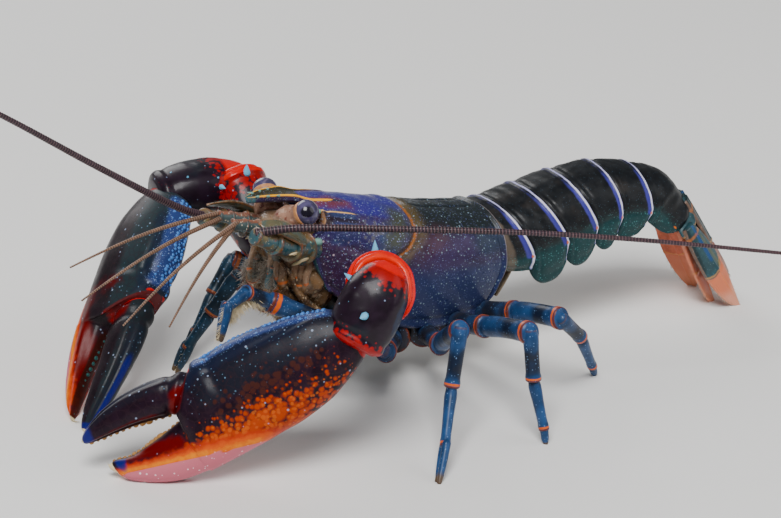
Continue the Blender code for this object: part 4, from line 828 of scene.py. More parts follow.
# %% Ring
def ring_shell(index, rows=56, outer_columns=141, inner_columns=45):
    """Both faces by share along and across: arch down to the plates, then plates that hang."""
    s = np.linspace(-0.16 if index else 0, 1.03, rows)[:, None]
    t = mix(RING_ENDS[index], RING_ENDS[index + 1], s)
    swell = profile(SWELL, s)
    half, arch = ring_size(t, RING_HALF), ring_size(t, RING_ARCH)
    inside = np.clip(s, 0, 1)
    sweep = mix(PLATE_SWEEP if index else 0, PLATE_SWEEP if index < 5 else 0.6, inside)
    round_off = np.sqrt(np.maximum(1 - np.abs(2 * inside - 1) ** 2.6, 0))
    drop = PLATE_DROP[index] * (0.3 + 0.7 * round_off if index else 0.4 + 0.6 * s)

    def face(w, inner):
        """Spot on the back line, moved aside and down; w runs -1..1 from edge to edge."""
        bend = np.minimum(np.abs(w) / PLATE_TOP, 1)
        hang = np.clip((np.abs(w) - PLATE_TOP) / (1 - PLATE_TOP), 0, 1)
        run = t + sweep * bend ** 1.6 * (1 - 0.25 * hang) / BACK_LENGTH
        spot, tangent, up, left = back_frame(np.clip(run, 0, 1))
        sine, cosine = np.sin(0.5 * np.pi * bend * np.sign(w)), np.cos(0.5 * np.pi * bend)
        aside = half * swell * spow(sine, 0.9) * (1 - 0.1 * hang ** 2)
        down = arch * swell * (1 - np.abs(cosine) ** 0.9) + drop * hang + arch * (1 - swell)
        if inner:
            on_plate = step(0, 0.12, hang)
            aside = mix((half - 1.1) * sine * swell, aside - 0.9 * np.sign(w) * (1 - 0.5 * hang), on_plate)
            down = mix(arch * 0.98 - 0.4 + 1.6 * np.abs(sine) ** 3, down - 0.05, on_plate)
        over = np.clip(run - 1, 0, 1) * BACK_LENGTH
        return spot + tangent * over[..., None] + left * aside[..., None] - up * down[..., None]

    w = np.linspace(-1, 1, outer_columns)[None]
    edge = np.abs(w)
    outer = face(w, False)
    grid = np.hstack([outer, face(np.linspace(1, -1, inner_columns)[None, 1:-1], True)])
    flat = lambda value: on_first(value, outer.shape[:2], inner_columns - 2)
    hang = np.clip((edge - PLATE_TOP) / (1 - PLATE_TOP), 0, 1)
    push = (0.22 * bell(edge, 0.975, 0.025) * step(0.1, 0.3, s)
        - 0.16 * bell(edge, 0.735, 0.018) * step(0.05, 0.2, s)
        + 0.3 * arc(s) * bell(hang, 0.42, 0.3) * (hang > 0) + 0.05 * ripple(outer, 3, index))
    grid = displace(grid, grid.mean(axis=1, keepdims=True), flat(push))
    bare = index != 5
    rim = bell(s, 0.975, 0.034) * step(0.995, 0.93, edge) * (0.7 + 0.3 * step(0.12, 0.3, edge))
    violet = bell(s, 0.89, 0.062) * step(0.82, 0.72, edge) * (0.35 + 0.65 * step(0.08, 0.45, edge))
    stripe = bell(s, 0.5, 0.16) * step(0.1, 0.35, edge)
    return shell(grid, {"rim": flat(bare * rim), "violet": flat(bare * violet),
        "spot": flat(bell(s, 0.955, 0.04) * bell(edge, 0.75, 0.024)),
        "plate": flat(step(0.56, 0.84, edge)), "under": 1 - flat(1),
        **({} if index else {"stripe": flat(stripe)})})


def swimmerets(index):
    """Two leaf-shaped legs under a ring: flattened lofts that hang from the belly and taper."""
    t = mix(RING_ENDS[index], RING_ENDS[index + 1], 0.45)
    spot, tangent, up, left = back_frame(t)
    reach, swing = (12.7, 0.9) if index == 1 else (8.6, 0.3)
    u = np.linspace(0, 0.99, 16)
    wide = 0.22 + 0.42 * arc(u) ** 0.7 * (1 - 0.4 * u)
    out = []
    for _, sign in SIDES:
        root = spot - up * (ring_size(t, RING_ARCH) * 0.98 - 1.8) + left * (sign * 4.6)
        toward = unit(-up - tangent * swing + left * sign * 0.25)
        centre = root + np.outer(u * reach, toward) + np.outer(0.9 * arc(u), tangent)
        out.append(shell(loft(centre, *frames(toward, left), wide, wide * 1.5, 12), {"under": 1}))
    return out


# %% [markdown]
# The rings are near-black on the back and dark teal on the plates. Each rear rim is a white line
# with violet before it, and an orange spot marks the hinge between arch and plate.

# %% Ring finish
f = Finish("ring_shell", (20, 22, 25), roughness=0.42, coat=0.06, specular=0.2)
f.cloud((40, 36, 34), 0.55, 0.72, 5, 0.6)
f.stain((24, 58, 60), "plate", 0.3, 1, 0.5, 1.6, 0.95)
f.stain((104, 92, 80), "stripe", 0.4, 0.9, 0.8, 1.8, 0.7)
f.dots((72, 90, 104), 0.4, 0.3, None, 0.4, 0.4)
f.dots((84, 140, 140), 0.42, 0.36, "plate", 0.6, 0.5)
f.stain((62, 60, 140), "violet", 0.2, 0.85, 0.5, 1.2, 0.95)
f.stain((150, 150, 206), "rim", 0.2, 0.5, 0.3, 0.8, 0.9)
f.stain((226, 222, 230), "rim", 0.5, 0.75, 0.2, 0.8, 0.97)
f.stain((214, 112, 44), "spot", 0.35, 0.8, 0.35, 0.8, 0.9)
f.stain((140, 124, 104), "under", 0.4, 0.6, 0.2, 1.5)
f.grain(0.5, 0.45)
f.pits(0.5, 0.3)
ring_finish = f.done(bump=0.3, depth=0.12)
for index in range(6):
    piece(f"abdomen_ring_{index + 1}", [ring_shell(index)] + (swimmerets(index) if 1 <= index <= 4 else []),
        ring_finish, [f"abdomen_{index + 1}"])

# %% [markdown]
# ## Tail fan
#
# The fan is a middle leaf, the telson, and two leaves on each side. Each leaf is stiff shell in its
# first part and soft beyond a cross seam, with a fringe of hairs round its end. A leaf is a
# function of the share along it and the place across it: width from keys, a shallow cup, and ribs
# that are bell curves across.

# %% Fan leaf
FAN_ROOT = np.array([46, -7, 20.8])
FAN_DOWN = unit((0.52, -0.12, -0.84))
FAN_LEFT = unit((-0.24, -0.97, 0))
FAN_OUT = unit(np.cross(FAN_LEFT, FAN_DOWN))
FAN_OUT = FAN_OUT * (-1 if FAN_OUT[0] < 0 else 1)
SEAM_AT = 0.57
END_HAIRS = 0.72  # share of the fringe on the round end


def leaf(root, along, across, length, widths, ribs, camber):
    """Leaf surface, top then underside, with its ribs, its cross seam and a ragged soft end."""
    normal = unit(np.cross(across, along))

    def middle(t, v):
        """Middle sheet: along by the share, across by half the width, raised toward its midline."""
        bulge = 1 - v ** 2
        return (root + along * (length * (t + 0.06 * bulge * t ** 4))[..., None]
            + across * (0.5 * profile(widths, t) * v)[..., None] + normal * (camber * bulge)[..., None])

    t = runs((0, 0.85, 56), (0.85, 1, 18))[:, None]
    v = np.sin(np.linspace(-0.5 * np.pi, 0.5 * np.pi, 59))[None]
    thick = 0.5 * mix(1.65, 0.5, t)
    rib = 0.26 * sum(bell(v, r, 0.09) for r in ribs) * (1 - 0.55 * step(0.8, 1, t))
    fine = 0.035 * np.cos(v * 46) * step(SEAM_AT, SEAM_AT + 0.08, t)
    seam = 0.16 * bell(t, SEAM_AT - 0.015, 0.012) - 0.2 * bell(t, SEAM_AT + 0.02, 0.014)
    thin = 0.35 + 0.65 * np.sqrt(np.maximum(1 - np.abs(v) ** 3, 0))
    top = middle(t, v) + normal * ((thick + rib + fine + seam) * thin)[..., None]
    under = middle(t, v) - normal * ((thick + rib * 0.5) * thin)[..., None]
    v = np.hstack([v, v[:, -2:0:-1]])
    past = t + 0.07 * v * v - 0.03 * v - SEAM_AT
    body = shell(np.hstack([top, under[:, -2:0:-1]]), {
        "soft": step(-0.01, 0.05, past), "pink": step(0.05, 0.4, past), "seam": bell(past, 0, 0.022),
        "warm": bell(v, -0.35, 0.22) * step(0.06, 0.2, t), "shade": step(0.45, 0.95, v) * step(0.6, 0.4, t),
        "rib": sum(bell(v, r, 0.1) for r in ribs) * step(SEAM_AT - 0.1, SEAM_AT + 0.1, t),
        "fan_edge": step(0.86, 0.99, np.abs(v)) + step(0.93, 1, t), "base": bell(t, 0.1, 0.035),
        "streak": bell(v, 0.1, 0.2) * step(0.5, 0.4, t)},
        end=root + along * (length * 1.02) + normal * camber * 0.9)
    # the fringe: hairs that leave the rim of the soft end and stay above the floor
    rng = np.random.default_rng(SEED + int(abs(root[1]) * 10))
    count = 150
    a = rng.uniform(-1, 1, count)
    on_end = np.abs(a) < END_HAIRS
    v = np.where(on_end, a / END_HAIRS * 0.96, np.sign(a) * 0.985)
    roots = middle(np.where(on_end, 0.995, rng.uniform(0.62, 0.98, count)), v)
    ways = (along + across * np.where(on_end, v * 0.5, np.sign(a) * 0.9)[:, None]
        + 0.15 * rng.normal(size=(count, 3)))
    keep = roots[:, 2] > 0.6
    lengths = rng.uniform(0.6, 1.1, count + keep.sum())[count:]
    return [body, bristles(roots[keep], ways[keep], lengths, 0.045)]


# %% [markdown]
# The stiff part is teal with lengthwise stripes. The soft part is warm and pales toward its rim,
# and a fine seam runs between them. The inner leaves are warm all over, the telson is dark.

# %% Fan finish
def fan_finish(name, ground, soft, pink, rib):
    """Stiff base with lengthwise stripes, soft warm end that pales toward its rim, faint ribs."""
    f = Finish(name, ground, roughness=0.42, coat=0.06, specular=0.22)
    f.cloud((*ground, 0.6), 0.5, 0.65, 2.4, 0.5)
    f.stain((104, 104, 76), "warm", 0.3, 1, 0.3, 1.4, 0.6)
    f.stain((36, 74, 128), "streak", 0.3, 1, 0.3, 1.4, 0.7)
    f.stain((24, 34, 36), "shade", 0.3, 1, 0.4, 1.4, 0.8)
    f.dots((130, 150, 156), 0.45, 0.26, None, 0.4, 0.4)
    f.stain(soft, "soft", 0.3, 0.8, 0.3, 2.2)
    f.stain(pink, "pink", 0.2, 1, 0.5, 2.2, 0.85)
    f.stain(rib, "rib", 0.5, 1.1, 0.3, 1, 0.35)
    f.stain((206, 150, 88), "seam", 0.5, 1, 0.3, 0.8, 0.6)
    f.stain((214, 166, 140), "fan_edge", 0.7, 1.3, 0.4, 0.8, 0.4)
    f.stain((190, 112, 56), "base", 0.6, 1.1, 0.7, 1.2, 0.6)
    f.stain((176, 150, 132), "hair", 0.3, 0.6, 0)
    f.grain(0.4, 0.5)
    return f.done(bump=0.25, depth=0.1, spread=0.05)


outer_fan = fan_finish("outer_fan_leaf", (44, 72, 78), (204, 118, 88), (216, 156, 134), (206, 140, 90))
inner_fan = fan_finish("inner_fan_leaf", (196, 110, 86), (204, 126, 100), (216, 150, 120), (214, 146, 100))
middle_fan = fan_finish("middle_fan_leaf", (34, 50, 52), (140, 96, 84), (168, 124, 108), (84, 92, 90))

# %% [markdown]
# All leaves start at one root. The side leaves are turned outward and cupped, the outer pair
# more than the inner pair, and the outer ones hang on a short stout stalk.

# %% Place the leaves
telson = leaf(FAN_ROOT - FAN_DOWN * 1.5, FAN_DOWN, FAN_LEFT, 21,
    [(0, 8), (0.15, 9), (0.58, 8), (0.8, 7.4), (0.95, 5.6), (1, 3.6)], (-0.55, 0, 0.55), 0.8)
piece("telson_leaf", telson, middle_fan, ["telson"])
for name, sign in SIDES:
    out = FAN_LEFT * -sign
    root = FAN_ROOT - FAN_DOWN + out * 3.9 - FAN_OUT * 1.6
    for kind, sweep, cup, splay, reach, wide in (("inner", 8, 30, 0.02, 19.5, 7.4),
            ("outer", 0, 52, 0.04, 21, 6.8)):
        along = unit(swing(FAN_DOWN, -FAN_OUT, sweep) + out * splay)
        across = unit(swing(out, -FAN_OUT, cup))
        across = unit(across - along * across.dot(along))
        start = root + along * 2.4 + (
            out * 2.6 - FAN_OUT * 1.2 if kind == "outer" else -out * 0.6 - FAN_OUT * 1.4)
        widths = [(at, wide * share) for at, share in ((0, 0.42), (0.2, 0.8), (0.5, 1), (0.72, 0.88),
            (0.88, 0.62), (0.96, 0.4), (1, 0.24))]
        shells = leaf(start, along, across, reach, widths, (0,), -0.5 * sign)
        if kind == "outer":
            u = np.linspace(0, 1, 26)
            centre = spline([root - along * 1.6, root + along * 1.2, start + along * 1.5], u)
            fat = profile([(0, 1.3), (0.1, 1.8), (0.5, 2.15), (0.85, 1.9), (0.97, 1.7), (1, 0.9)], u)
            stalk = loft(centre, across, FAN_OUT, fat * 1.2, fat * 0.8, 26)
            shells.append(shell(stalk, {"seam": step(0.82, 0.97, u)}))
            piece(f"outer_leaf_{name}", shells, outer_fan, [f"uropod_exopod_{name}"])
        else:
            for stripe in ("warm", "streak", "shade", "base"):
                shells[0]["marks"][stripe] *= 0
            piece(f"inner_leaf_{name}", shells, inner_fan, [f"uropod_endopod_{name}"])

# %% [markdown]
# ## Claws
#
# A claw is one palm that runs out into a fixed finger, and a second finger that closes on it. The
# outline is what names the animal: a broad palm with a crest of tubercles on its inner edge and a
# smooth outer edge. Sculpting would lose the measured outline, so both edges and the depth are keys
# along the claw. Each claw then moves the hinge to its own share of the length.

# %% Claw frame
CLAW_LENGTH, CLAW_WIDTH, CLAW_THICK = 49, 18.4, 11
HINGE_AT = 0.575
HINGE_RUN = 0.11
LAST_ROW, PALM_END = 0.56, 0.6  # shares of the last even row and of the palm's end
VIEW_SIDE = np.array([-0.456, -0.775, 0.437])
ARMS = {
    "left": {"coxa": (-27, -4, 11.6), "elbow": (-36, -16, 19.5), "merus": (-42, -30, 32),
        "wrist": (-47.8, -31.5, 25.3), "tip": (-87, -9.8, 0.8), "roll": 0, "hinge": 0.585,
        "gape": 5, "notch": (0.46, 0.13)},
    "right": {"coxa": (-27, 4, 11.6), "elbow": (-35, 15.5, 19), "merus": (-34.5, 30, 30.3),
        "wrist": (-47.5, 33, 30), "tip": (-80, 11.6, 0.5), "roll": 50, "hinge": 0.47,
        "gape": -1, "notch": (0.46, 0)},
}
INNER_EDGE = [(0, 0.2), (0.06, 0.34), (0.2, 0.45), (0.4, 0.52), (0.56, 0.5), (0.6, 0.47)]
OUTER_EDGE = [(0, -0.2), (0.08, -0.3), (0.2, -0.42), (0.35, -0.47), (0.55, -0.475), (0.74, -0.44),
    (0.86, -0.34), (0.94, -0.22), (1, -0.06)]
FINGER_EDGE = [(0.6, 0.14), (0.7, 0.07), (0.78, 0.035), (0.9, 0.01), (1, 0.06)]
CLAW_DEPTH = [(0, 0.62), (0.1, 0.86), (0.3, 1), (0.5, 0.95), (0.65, 0.72), (0.8, 0.52), (0.92, 0.36), (1, 0.2)]


def claw_frame(side):
    """Unit vectors along the claw, out of its back, and toward its inner edge, rolled about it."""
    pose = ARMS[side]
    along = unit(np.subtract(pose["tip"], pose["wrist"]))
    back = unit(VIEW_SIDE - along * VIEW_SIDE.dot(along))
    inner = np.cross(along, back) * (1 if side == "left" else -1)
    return along, swing(back, -inner, pose["roll"]), swing(inner, back, pose["roll"])


def claw_place(side, s, t, d):
    """Wrist + along * share of length + inner * share of width + back * millimetres."""
    along, back, inner = claw_frame(side)
    s, t, d = np.broadcast_arrays(np.asarray(s, float), t, d)
    return (ARMS[side]["wrist"] + along * (s * CLAW_LENGTH)[..., None] + inner * (t * CLAW_WIDTH)[..., None]
        + back * d[..., None])


def real_share(side, share):
    """Share of the real length for a share of the keys: two straight runs that meet at the hinge."""
    hinge = ARMS[side]["hinge"]
    return np.interp(share, (-1, HINGE_AT, 1), (-hinge / HINGE_AT, hinge, 1))


def palm_edge(side, s):
    """Inner edge of the palm, in shares of the width, at a real share of the length."""
    return profile(INNER_EDGE, np.clip(s * HINGE_AT / ARMS[side]["hinge"], 0, PALM_END))


def finger_edge(side, share):
    """Inner edge of the fixed finger, in shares of the width, at a share of the keys."""
    return profile(FINGER_EDGE, share) + ARMS[side]["notch"][1] - 0.12


def inner_of(side, s):
    """The same edge at a real share of the length: the two straight runs read backward."""
    hinge = ARMS[side]["hinge"]
    return finger_edge(side, np.interp(s, (0, hinge, 1), (0, HINGE_AT, 1)))


print("claw length", CLAW_LENGTH, "mm")

# %% [markdown]
# Palm and fixed finger are one grid. Each section is a superellipse between the two edges. Where
# the moving finger sits, a slanted face joins the broad sections to the narrow ones. Its rows are
# filled in between, so that the light on the face stays even.

# %% Palm
def palm_shell(side, columns=128):
    """Sections of palm and fixed finger; their marks are read from the share along and across."""
    near = side == "left"
    hinge, (high, low) = ARMS[side]["hinge"], ARMS[side]["notch"]
    share = np.hstack([runs((-0.045, 0, 6), (0, LAST_ROW, 96)), [0.585, PALM_END],
        np.linspace(0.685, 0.985, 76), [0.994, 1]])
    at = int(np.argmin(np.abs(share - PALM_END)))
    clipped = np.clip(share, 0, 1)
    inner = np.where(share <= PALM_END, profile(INNER_EDGE, clipped), finger_edge(side, clipped))
    inner[at + 1] = low
    outer = profile(OUTER_EDGE, clipped)
    close = np.sqrt(np.clip((1.012 - share) / 0.05, 0.05, 1)) * np.where(share < 0, 0.9, 1)
    angle = circle(columns) + np.pi / columns
    t = 0.5 * (inner + outer)[:, None] + np.outer(0.5 * (inner - outer) * close, spow(np.cos(angle), 0.9))
    d = np.outer(0.5 * CLAW_THICK * profile(CLAW_DEPTH, clipped) * close,
        spow(np.sin(angle), 0.85) * np.where(np.sin(angle) > 0, 1, 0.85))
    slant = HINGE_AT + HINGE_RUN * np.clip((high - t) / (high - low), -0.15, 0.93)
    reach = share[:, None] + 0 * t
    reach[at - 1:at + 1] = mix(LAST_ROW, slant[at - 1], 0.72), slant[at]
    # six rows fill the step between the face and the finger
    fill = np.linspace(0, 1, 8)[1:-1, None]
    s, t, d = (np.vstack([v[:at + 1], mix(v[at], v[at + 1], fill), v[at + 1:]])
        for v in (real_share(side, reach), t, d))
    points = claw_place(side, s, t, d)
    face = np.zeros((len(s), 1))
    face[at:at + 7] = 1
    face = face * step(low - 0.02, low + 0.06, t)
    off, palm = 1 - face, step(0, 0.2, t) * (1 - face)
    finger = step(0.66, 0.74, s) if near else step(0.56, 0.66, s)
    middle = 0.5 * (profile(OUTER_EDGE, s) + low)
    push = 0.05 * ripple(points, 6, 3) + 0.28 * bell(t, middle + 0.02, 0.035) * finger * step(1, 0.93, s)
    push -= 0.18 * bell(t, middle - 0.07, 0.03) * finger + 0.14 * bell(t, middle + 0.1, 0.03) * finger
    push += 0.3 * bell(s, hinge - 0.03, 0.022) * palm - 0.22 * bell(s, hinge - 0.075, 0.02) * palm
    push -= 0.3 * bell(t, 0.36, 0.035) * step(0.05, 0.14, s) * step(hinge, hinge - 0.1, s) * step(-0.5, 1, d)
    push -= 0.22 * step(0.025, 0, s)
    border = mix(-0.5, -0.11 if near else -0.14, np.clip((s - (0.41 if near else 0.46)) / 0.54, 0, 1))
    inside = border - t
    edge_gap = palm_edge(side, s) - t
    marks = {
        "crest": (step(0.1 if near else 0.13, 0.03, edge_gap) * off * step(0.01, 0.08, s)
            * step(hinge, hinge - 0.04, s)),
        "navy": step(0.3, 0.08, edge_gap) * off * step(0.02, 0.2, s),
        "upper": step(-0.05, 0.15, t) * step(0.7, 0.5, s),
        "net": (step(0.08, -0.3, t) * mix(0.62, 1, step(0.14, 0.42, s)) * step(0.03, 0.1, s)
            * step(0.84, 0.66, s) * near),
        "brown": bell(t, -0.02, 0.2) * step(0.04, 0.2, s) * step(0.66, 0.5, s) * (0.8 if near else 0.25),
        "patch": step(-0.015, 0.02, inside) * (
            step(0.36, 0.46, s) * step(1.02, 0.94, s) if near else step(0.5, 0.66, s) * step(1.02, 0.96, s)),
        "orange": (bell(inside, -0.02, mix(0.1, 0.055, step(0.6, 0.9, s)) if near else 0.07) * step(0.3, 0.5, s)
            * step(1.02, 0.97, s)),
        "blood": finger * bell(inside, -0.17, 0.1 if near else 0.14) * step(1, 0.93, s),
        "tip": bell(s, 0.952, 0.028) * step(-0.2, 0.3, d) * bell(t, 0.02, 0.14),
        "tip_white": step(0.975, 0.99, s),
        "hinge": bell(s, hinge - 0.002, 0.005) * step(0, 0.1, t) * off + 0.9 * face * step(0.3, -0.1, t),
        "skin": face,
        "wrist": step(0.035, 0.012, s),
        "bite": step(-0.03, 0, t - inner_of(side, s)) * finger,
    }
    if not near:
        marks["red_zone"] = (0.8 * bell(s, hinge, 0.05) * bell(t, 0, 0.25)
            + bell(inside, -0.16, 0.13) * step(0.36, 0.6, s))
    return shell(displace(points, points.mean(axis=1, keepdims=True), push), marks,
        end=claw_place(side, 1.003, 0.06, -0.25))


# %% [markdown]
# Round tubercles crowd the palm's inner edge, and low rounded teeth line the fixed finger. Both
# are rows of knobs: even steps along an edge, with sizes that rise and fall by a sine.

# %% Crest and teeth
def crest_knobs(side):
    """Three rows of round tubercles on the palm's inner edge, and a fourth, smaller, on its back."""
    _, back, inner = claw_frame(side)
    out = []
    for count, lift, inset, size in ((30, 1, 0.01, 0.4), (28, -1.1, 0.01, 0.4), (26, 2.3, 0.045, 0.26),
            (30, 0, 0.004, 0.36)):
        s, wave = ARMS[side]["hinge"] * np.linspace(0.12, 0.965, count), np.arange(count)
        roots = claw_place(side, s, palm_edge(side, s) - inset, lift + 0.25 * np.sin(wave * 2.3))
        size = size * (0.85 + 0.25 * np.sin(wave * 1.7 + 1))
        out.append(knobs(roots, unit(inner + back * 0.25 * lift), size))
    return out


def cutting_teeth(side):
    """Low rounded teeth along the fixed finger, larger near the middle of its edge."""
    share = np.linspace(0.705, 0.975, 15)
    size = 0.42 + 0.38 * bell(share, 0.8, 0.04) + 0.1 * np.sin(np.arange(15) * 2.1)
    roots = claw_place(side, real_share(side, share), finger_edge(side, share) - 0.008, 0.1)
    scale, mark = (1, "tooth") if side == "left" else (0.6, "dull_tooth")
    return [knobs(roots, claw_frame(side)[2], size * scale, mark)]


# %% [markdown]
# The moving finger leaves the slanted face at a right angle and turns ahead within its first third.
# It hooks inward toward the tip, and its teeth stand on the inner side.

# %% Moving finger
FINGER = [(-0.03, 3.1, 2.9), (0, 3.45, 3.15), (0.12, 3.5, 3.3), (0.3, 3.3, 3), (0.55, 2.8, 2.5),
    (0.75, 2.2, 2), (0.92, 1.3, 1.3), (0.98, 0.75, 0.8), (1, 0.3, 0.3)]
TOOTH_ROW = [(0, 3.45), (0.12, 3.5), (0.3, 3.3), (0.55, 2.8), (0.75, 2.2), (0.92, 1.3), (1, 0.5)]


def finger_shell(side, columns=96):
    """Moving finger: sections carried along a hooked path from the hinge face to the tip."""
    along, back, inner = claw_frame(side)
    near, hinge, (high, low) = side == "left", ARMS[side]["hinge"], ARMS[side]["notch"]
    run = HINGE_RUN * (1 - hinge) / (1 - HINGE_AT)
    upper, lower = claw_place(side, hinge, high, 0), claw_place(side, hinge + run, low, 0)
    out = np.cross(back, unit(upper - lower))
    out = out * np.sign(out.dot(along))
    ahead = swing(along, inner, ARMS[side]["gape"])
    reach = CLAW_LENGTH * (1.04 - hinge - run * 0.5)

    def core(t):
        """Middle line: ahead by the share, hooked by a sine less a cube, a little toward the back."""
        return (0.5 * (upper + lower) + out * 0.3 + np.outer(reach * t, ahead) + np.outer(0.4 * arc(t), back)
            + np.outer(0.05 * CLAW_WIDTH * (arc(t) - np.abs(t) ** 3), inner))

    t = runs((-0.03, 0.92, 96), (0.92, 0.998, 16))
    centre = core(t)
    across = unit(np.cross(back, unit(mix(out, ahead, np.clip(t * 3.5, 0, 1)[:, None]))))
    across = across * np.sign(across @ inner)[:, None]
    points = loft(centre, across, back, *sizes(FINGER, t), columns, 0.95)
    t, angle = t[:, None], circle(columns)[None]
    edge_in, on_back = np.cos(angle), np.sin(angle)
    push = 0.22 * bell(on_back, 0.8, 0.16) * step(0.04, 0.2, t) * step(1, 0.85, t)
    push = push - 0.2 * bell(on_back, 0.45, 0.14) * step(0.1, 0.25, t) * step(0.98, 0.8, t)
    push = push + 0.28 * bell(t, 0.045, 0.03) - 0.25 * bell(t, 0.11, 0.03) + 0.04 * ripple(points, 4, 5)
    body = shell(displace(points, centre[:, None], push), {
        "hinge": step(0.005, -0.02, t) * (step(0.2, -0.6, edge_in) if near else 1),
        "tip": step(0.78, 0.96, t) if near else (
            step(0.86, 1.04, edge_in) * step(0.2, 0.5, t) + step(0.92, 0.98, t)),
        "tip_white": step(0.985, 0.997, t),
        "navy": 0.7 * step(0.3, 0.9, edge_in) * step(0.06, 0.2, t),
        "upper": 0.6 * step(0, 0.5, edge_in),
        "bite": step(-0.86, -0.96, edge_in) * step(0.15, 0.25, t),
        "blood": (step(0.16, 0.04, t) * step(0.7, 0.1, edge_in)
            + 0.6 * bell(edge_in, -0.7, 0.2) * step(0.1, 0.3, t)),
    }, end=centre[-1] + ahead * 0.3)
    t = np.linspace(0.2, 0.93, 13)
    size = 0.4 + 0.4 * bell(t, 0.42, 0.06) + 0.08 * np.sin(np.arange(13) * 2.7)
    return [body, knobs(core(t) - np.outer(profile(TOOTH_ROW, t) - 0.05, inner), -inner, size, "tooth")]


# %% [markdown]
# The claw's ground is near-black plum. Orange round cells grow on the palm and run together into a
# net. The crest is blue, the outer edge has an orange border, and inside the border a grown male
# has a soft pink patch. Red skin shows at the hinge, and the finger tips turn deep blue and then
# white.

# %% Claw finish
def claw_finish(name, ground, upper):
    """One recipe for both claws, each with its own ground and upper colour."""
    f = Finish(name, ground, roughness=0.34, coat=0.05, specular=0.12)
    f.stain(upper, "upper", 0.2, 0.9, 0.5, 4, 0.9)
    f.net((46, 30, 36), 1.5, 0.04, 0.3)
    f.stain((20, 28, 50), "navy", 0.4, 1, 0.6, 2, 0.7)
    f.islands((66, 34, 28), "brown", 1.15, 0.8, 0.8)
    f.islands((124, 40, 16), "net", 1.05, 0.98, 0.95)
    f.islands((170, 64, 16), "net", 1.05, 0.74, 0.85)
    f.islands((198, 98, 36), "net", 0.9, 0.5, 0.6)
    f.stain((84, 10, 8), "red_zone", 0.3, 0.9, 0.9, 2, 0.9)
    f.stain((96, 12, 10), "blood", 0.3, 0.85, 0.6, 1.6, 0.92)
    f.dots((150, 164, 190), 1.5, 0.17, None, 0.8, 0.4)
    f.dots((104, 136, 160), 0.75, 0.24, "upper", 0.75, 0.4)
    f.stain((46, 62, 112), "crest", 0.25, 0.9, 0.5, 1.2, 0.9)
    f.dots((140, 164, 204), 0.3, 0.42, "crest", 0.75, 0.8)
    f.stain((176, 52, 10), "orange", 0.12, 0.5, 0.7, 1.2, 0.9)
    f.stain((208, 90, 12), "orange", 0.4, 0.85, 0.6, 1.2, 0.97)
    f.stain((228, 140, 30), "orange", 0.8, 1.05, 0.4, 1, 0.8)
    f.stain((196, 112, 126), "patch", 0.4, 0.62, 0.3, 1.4, 0.97)
    f.dots((236, 216, 220), 0.9, 0.26, "patch", 0.85, 0.3)
    f.stain((24, 28, 104), "tip", 0.4, 0.8, 0.3, 2, 0.95)
    f.stain((210, 40, 10), "hinge", 0.4, 0.7, 0.3, 0.8, 0.95)
    f.stain((120, 22, 12), "skin", 0.4, 0.7, 0.3, 0.8, 0.5)
    f.stain((170, 30, 10), "wrist", 0.4, 0.7, 0.3, 0.8, 0.9)
    f.stain((44, 20, 16), "bite", 0.4, 0.8, 0.3, 0.7, 0.9)
    f.stain((176, 132, 84), "tooth", 0.3, 0.6, 0.2, 0.6, 0.85)
    f.stain((44, 84, 82), "dull_tooth", 0.3, 0.6, 0.2, 0.6, 0.85)
    f.stain((84, 134, 204), "knob", 0.3, 0.6, 0.2, 0.8, 0.95)
    f.stain((236, 220, 180), "tip_white", 0.4, 0.8, 0.3, 0.6, 0.9)
    f.grain(0.6, 0.5)
    f.pits(0.55, 0.45)
    return f.done(bump=0.22, depth=0.12, spread=0.04)


for side, finish in (("left", claw_finish("claw_near", (30, 16, 28), (26, 28, 38))),
        ("right", claw_finish("claw_far", (28, 20, 26), (38, 50, 54)))):
    piece(f"palm_{side}", [palm_shell(side)] + crest_knobs(side) + cutting_teeth(side), finish,
        [f"claw_{side}_palm"])
    piece(f"finger_{side}", finger_shell(side), finish, [f"claw_{side}_dactyl"])

# %% [markdown]
# ## Walking legs
#
# Eight slim legs carry the body. Each has five articles that show, and the first two pairs end in
# small pincers. An article is a tube that narrows to its root and flares to its rim, with its ends
# rounded so that it nests in the next. Arms, feeler stems and mouth legs are made of the same
# articles.

# %% Articles and limbs
def article(start, stop, up, keys, rows=60, columns=64, square=0.95, bow=0, bow_way=UP):
    """Loft from start to stop with round ends; each key is a share, half the width, half the depth."""
    u = eased(rows)
    centre = mix(start, stop, u[:, None]) + np.outer(bow * np.sin(np.pi * u), bow_way)
    across, upward = frames(np.subtract(stop, start), up)
    return u, centre, loft(centre, across, upward, *sizes(keys, u), columns, square)


def limb(start, stop, up, root_half, end_half, flat, rows=40, columns=28, rim=0.16, bow=0, dusk=(0.5, 0.22),
        marks=None):
    """One article: narrow root, straight shaft, a flared rim near its end, then a rounded end."""
    keys = [(0, root_half * 0.45), (0.03, root_half * 0.78), (0.09, root_half * 0.86), (0.2, root_half),
        (0.5, mix(root_half, end_half, 0.5) * 0.97), (0.82, end_half), (0.9, end_half * (1 + rim)),
        (0.96, end_half * (1 + rim)), (0.985, end_half * 0.9), (1, end_half * 0.5)]
    u, _, grid = article(start, stop, up, [(k, v, v * flat) for k, v in keys], rows, columns, 1, bow)
    return shell(grid, {"ring": bell(u, 0.925, 0.022), "joint": bell(u, 0.962, 0.016),
        "root": bell(u, 0.05, 0.03), "top": step(0.2, 0.9, np.sin(circle(columns)))[None],
        "shaft": bell(u, *dusk), "root_zone": 1, **(marks or {})})


print("articles ready")
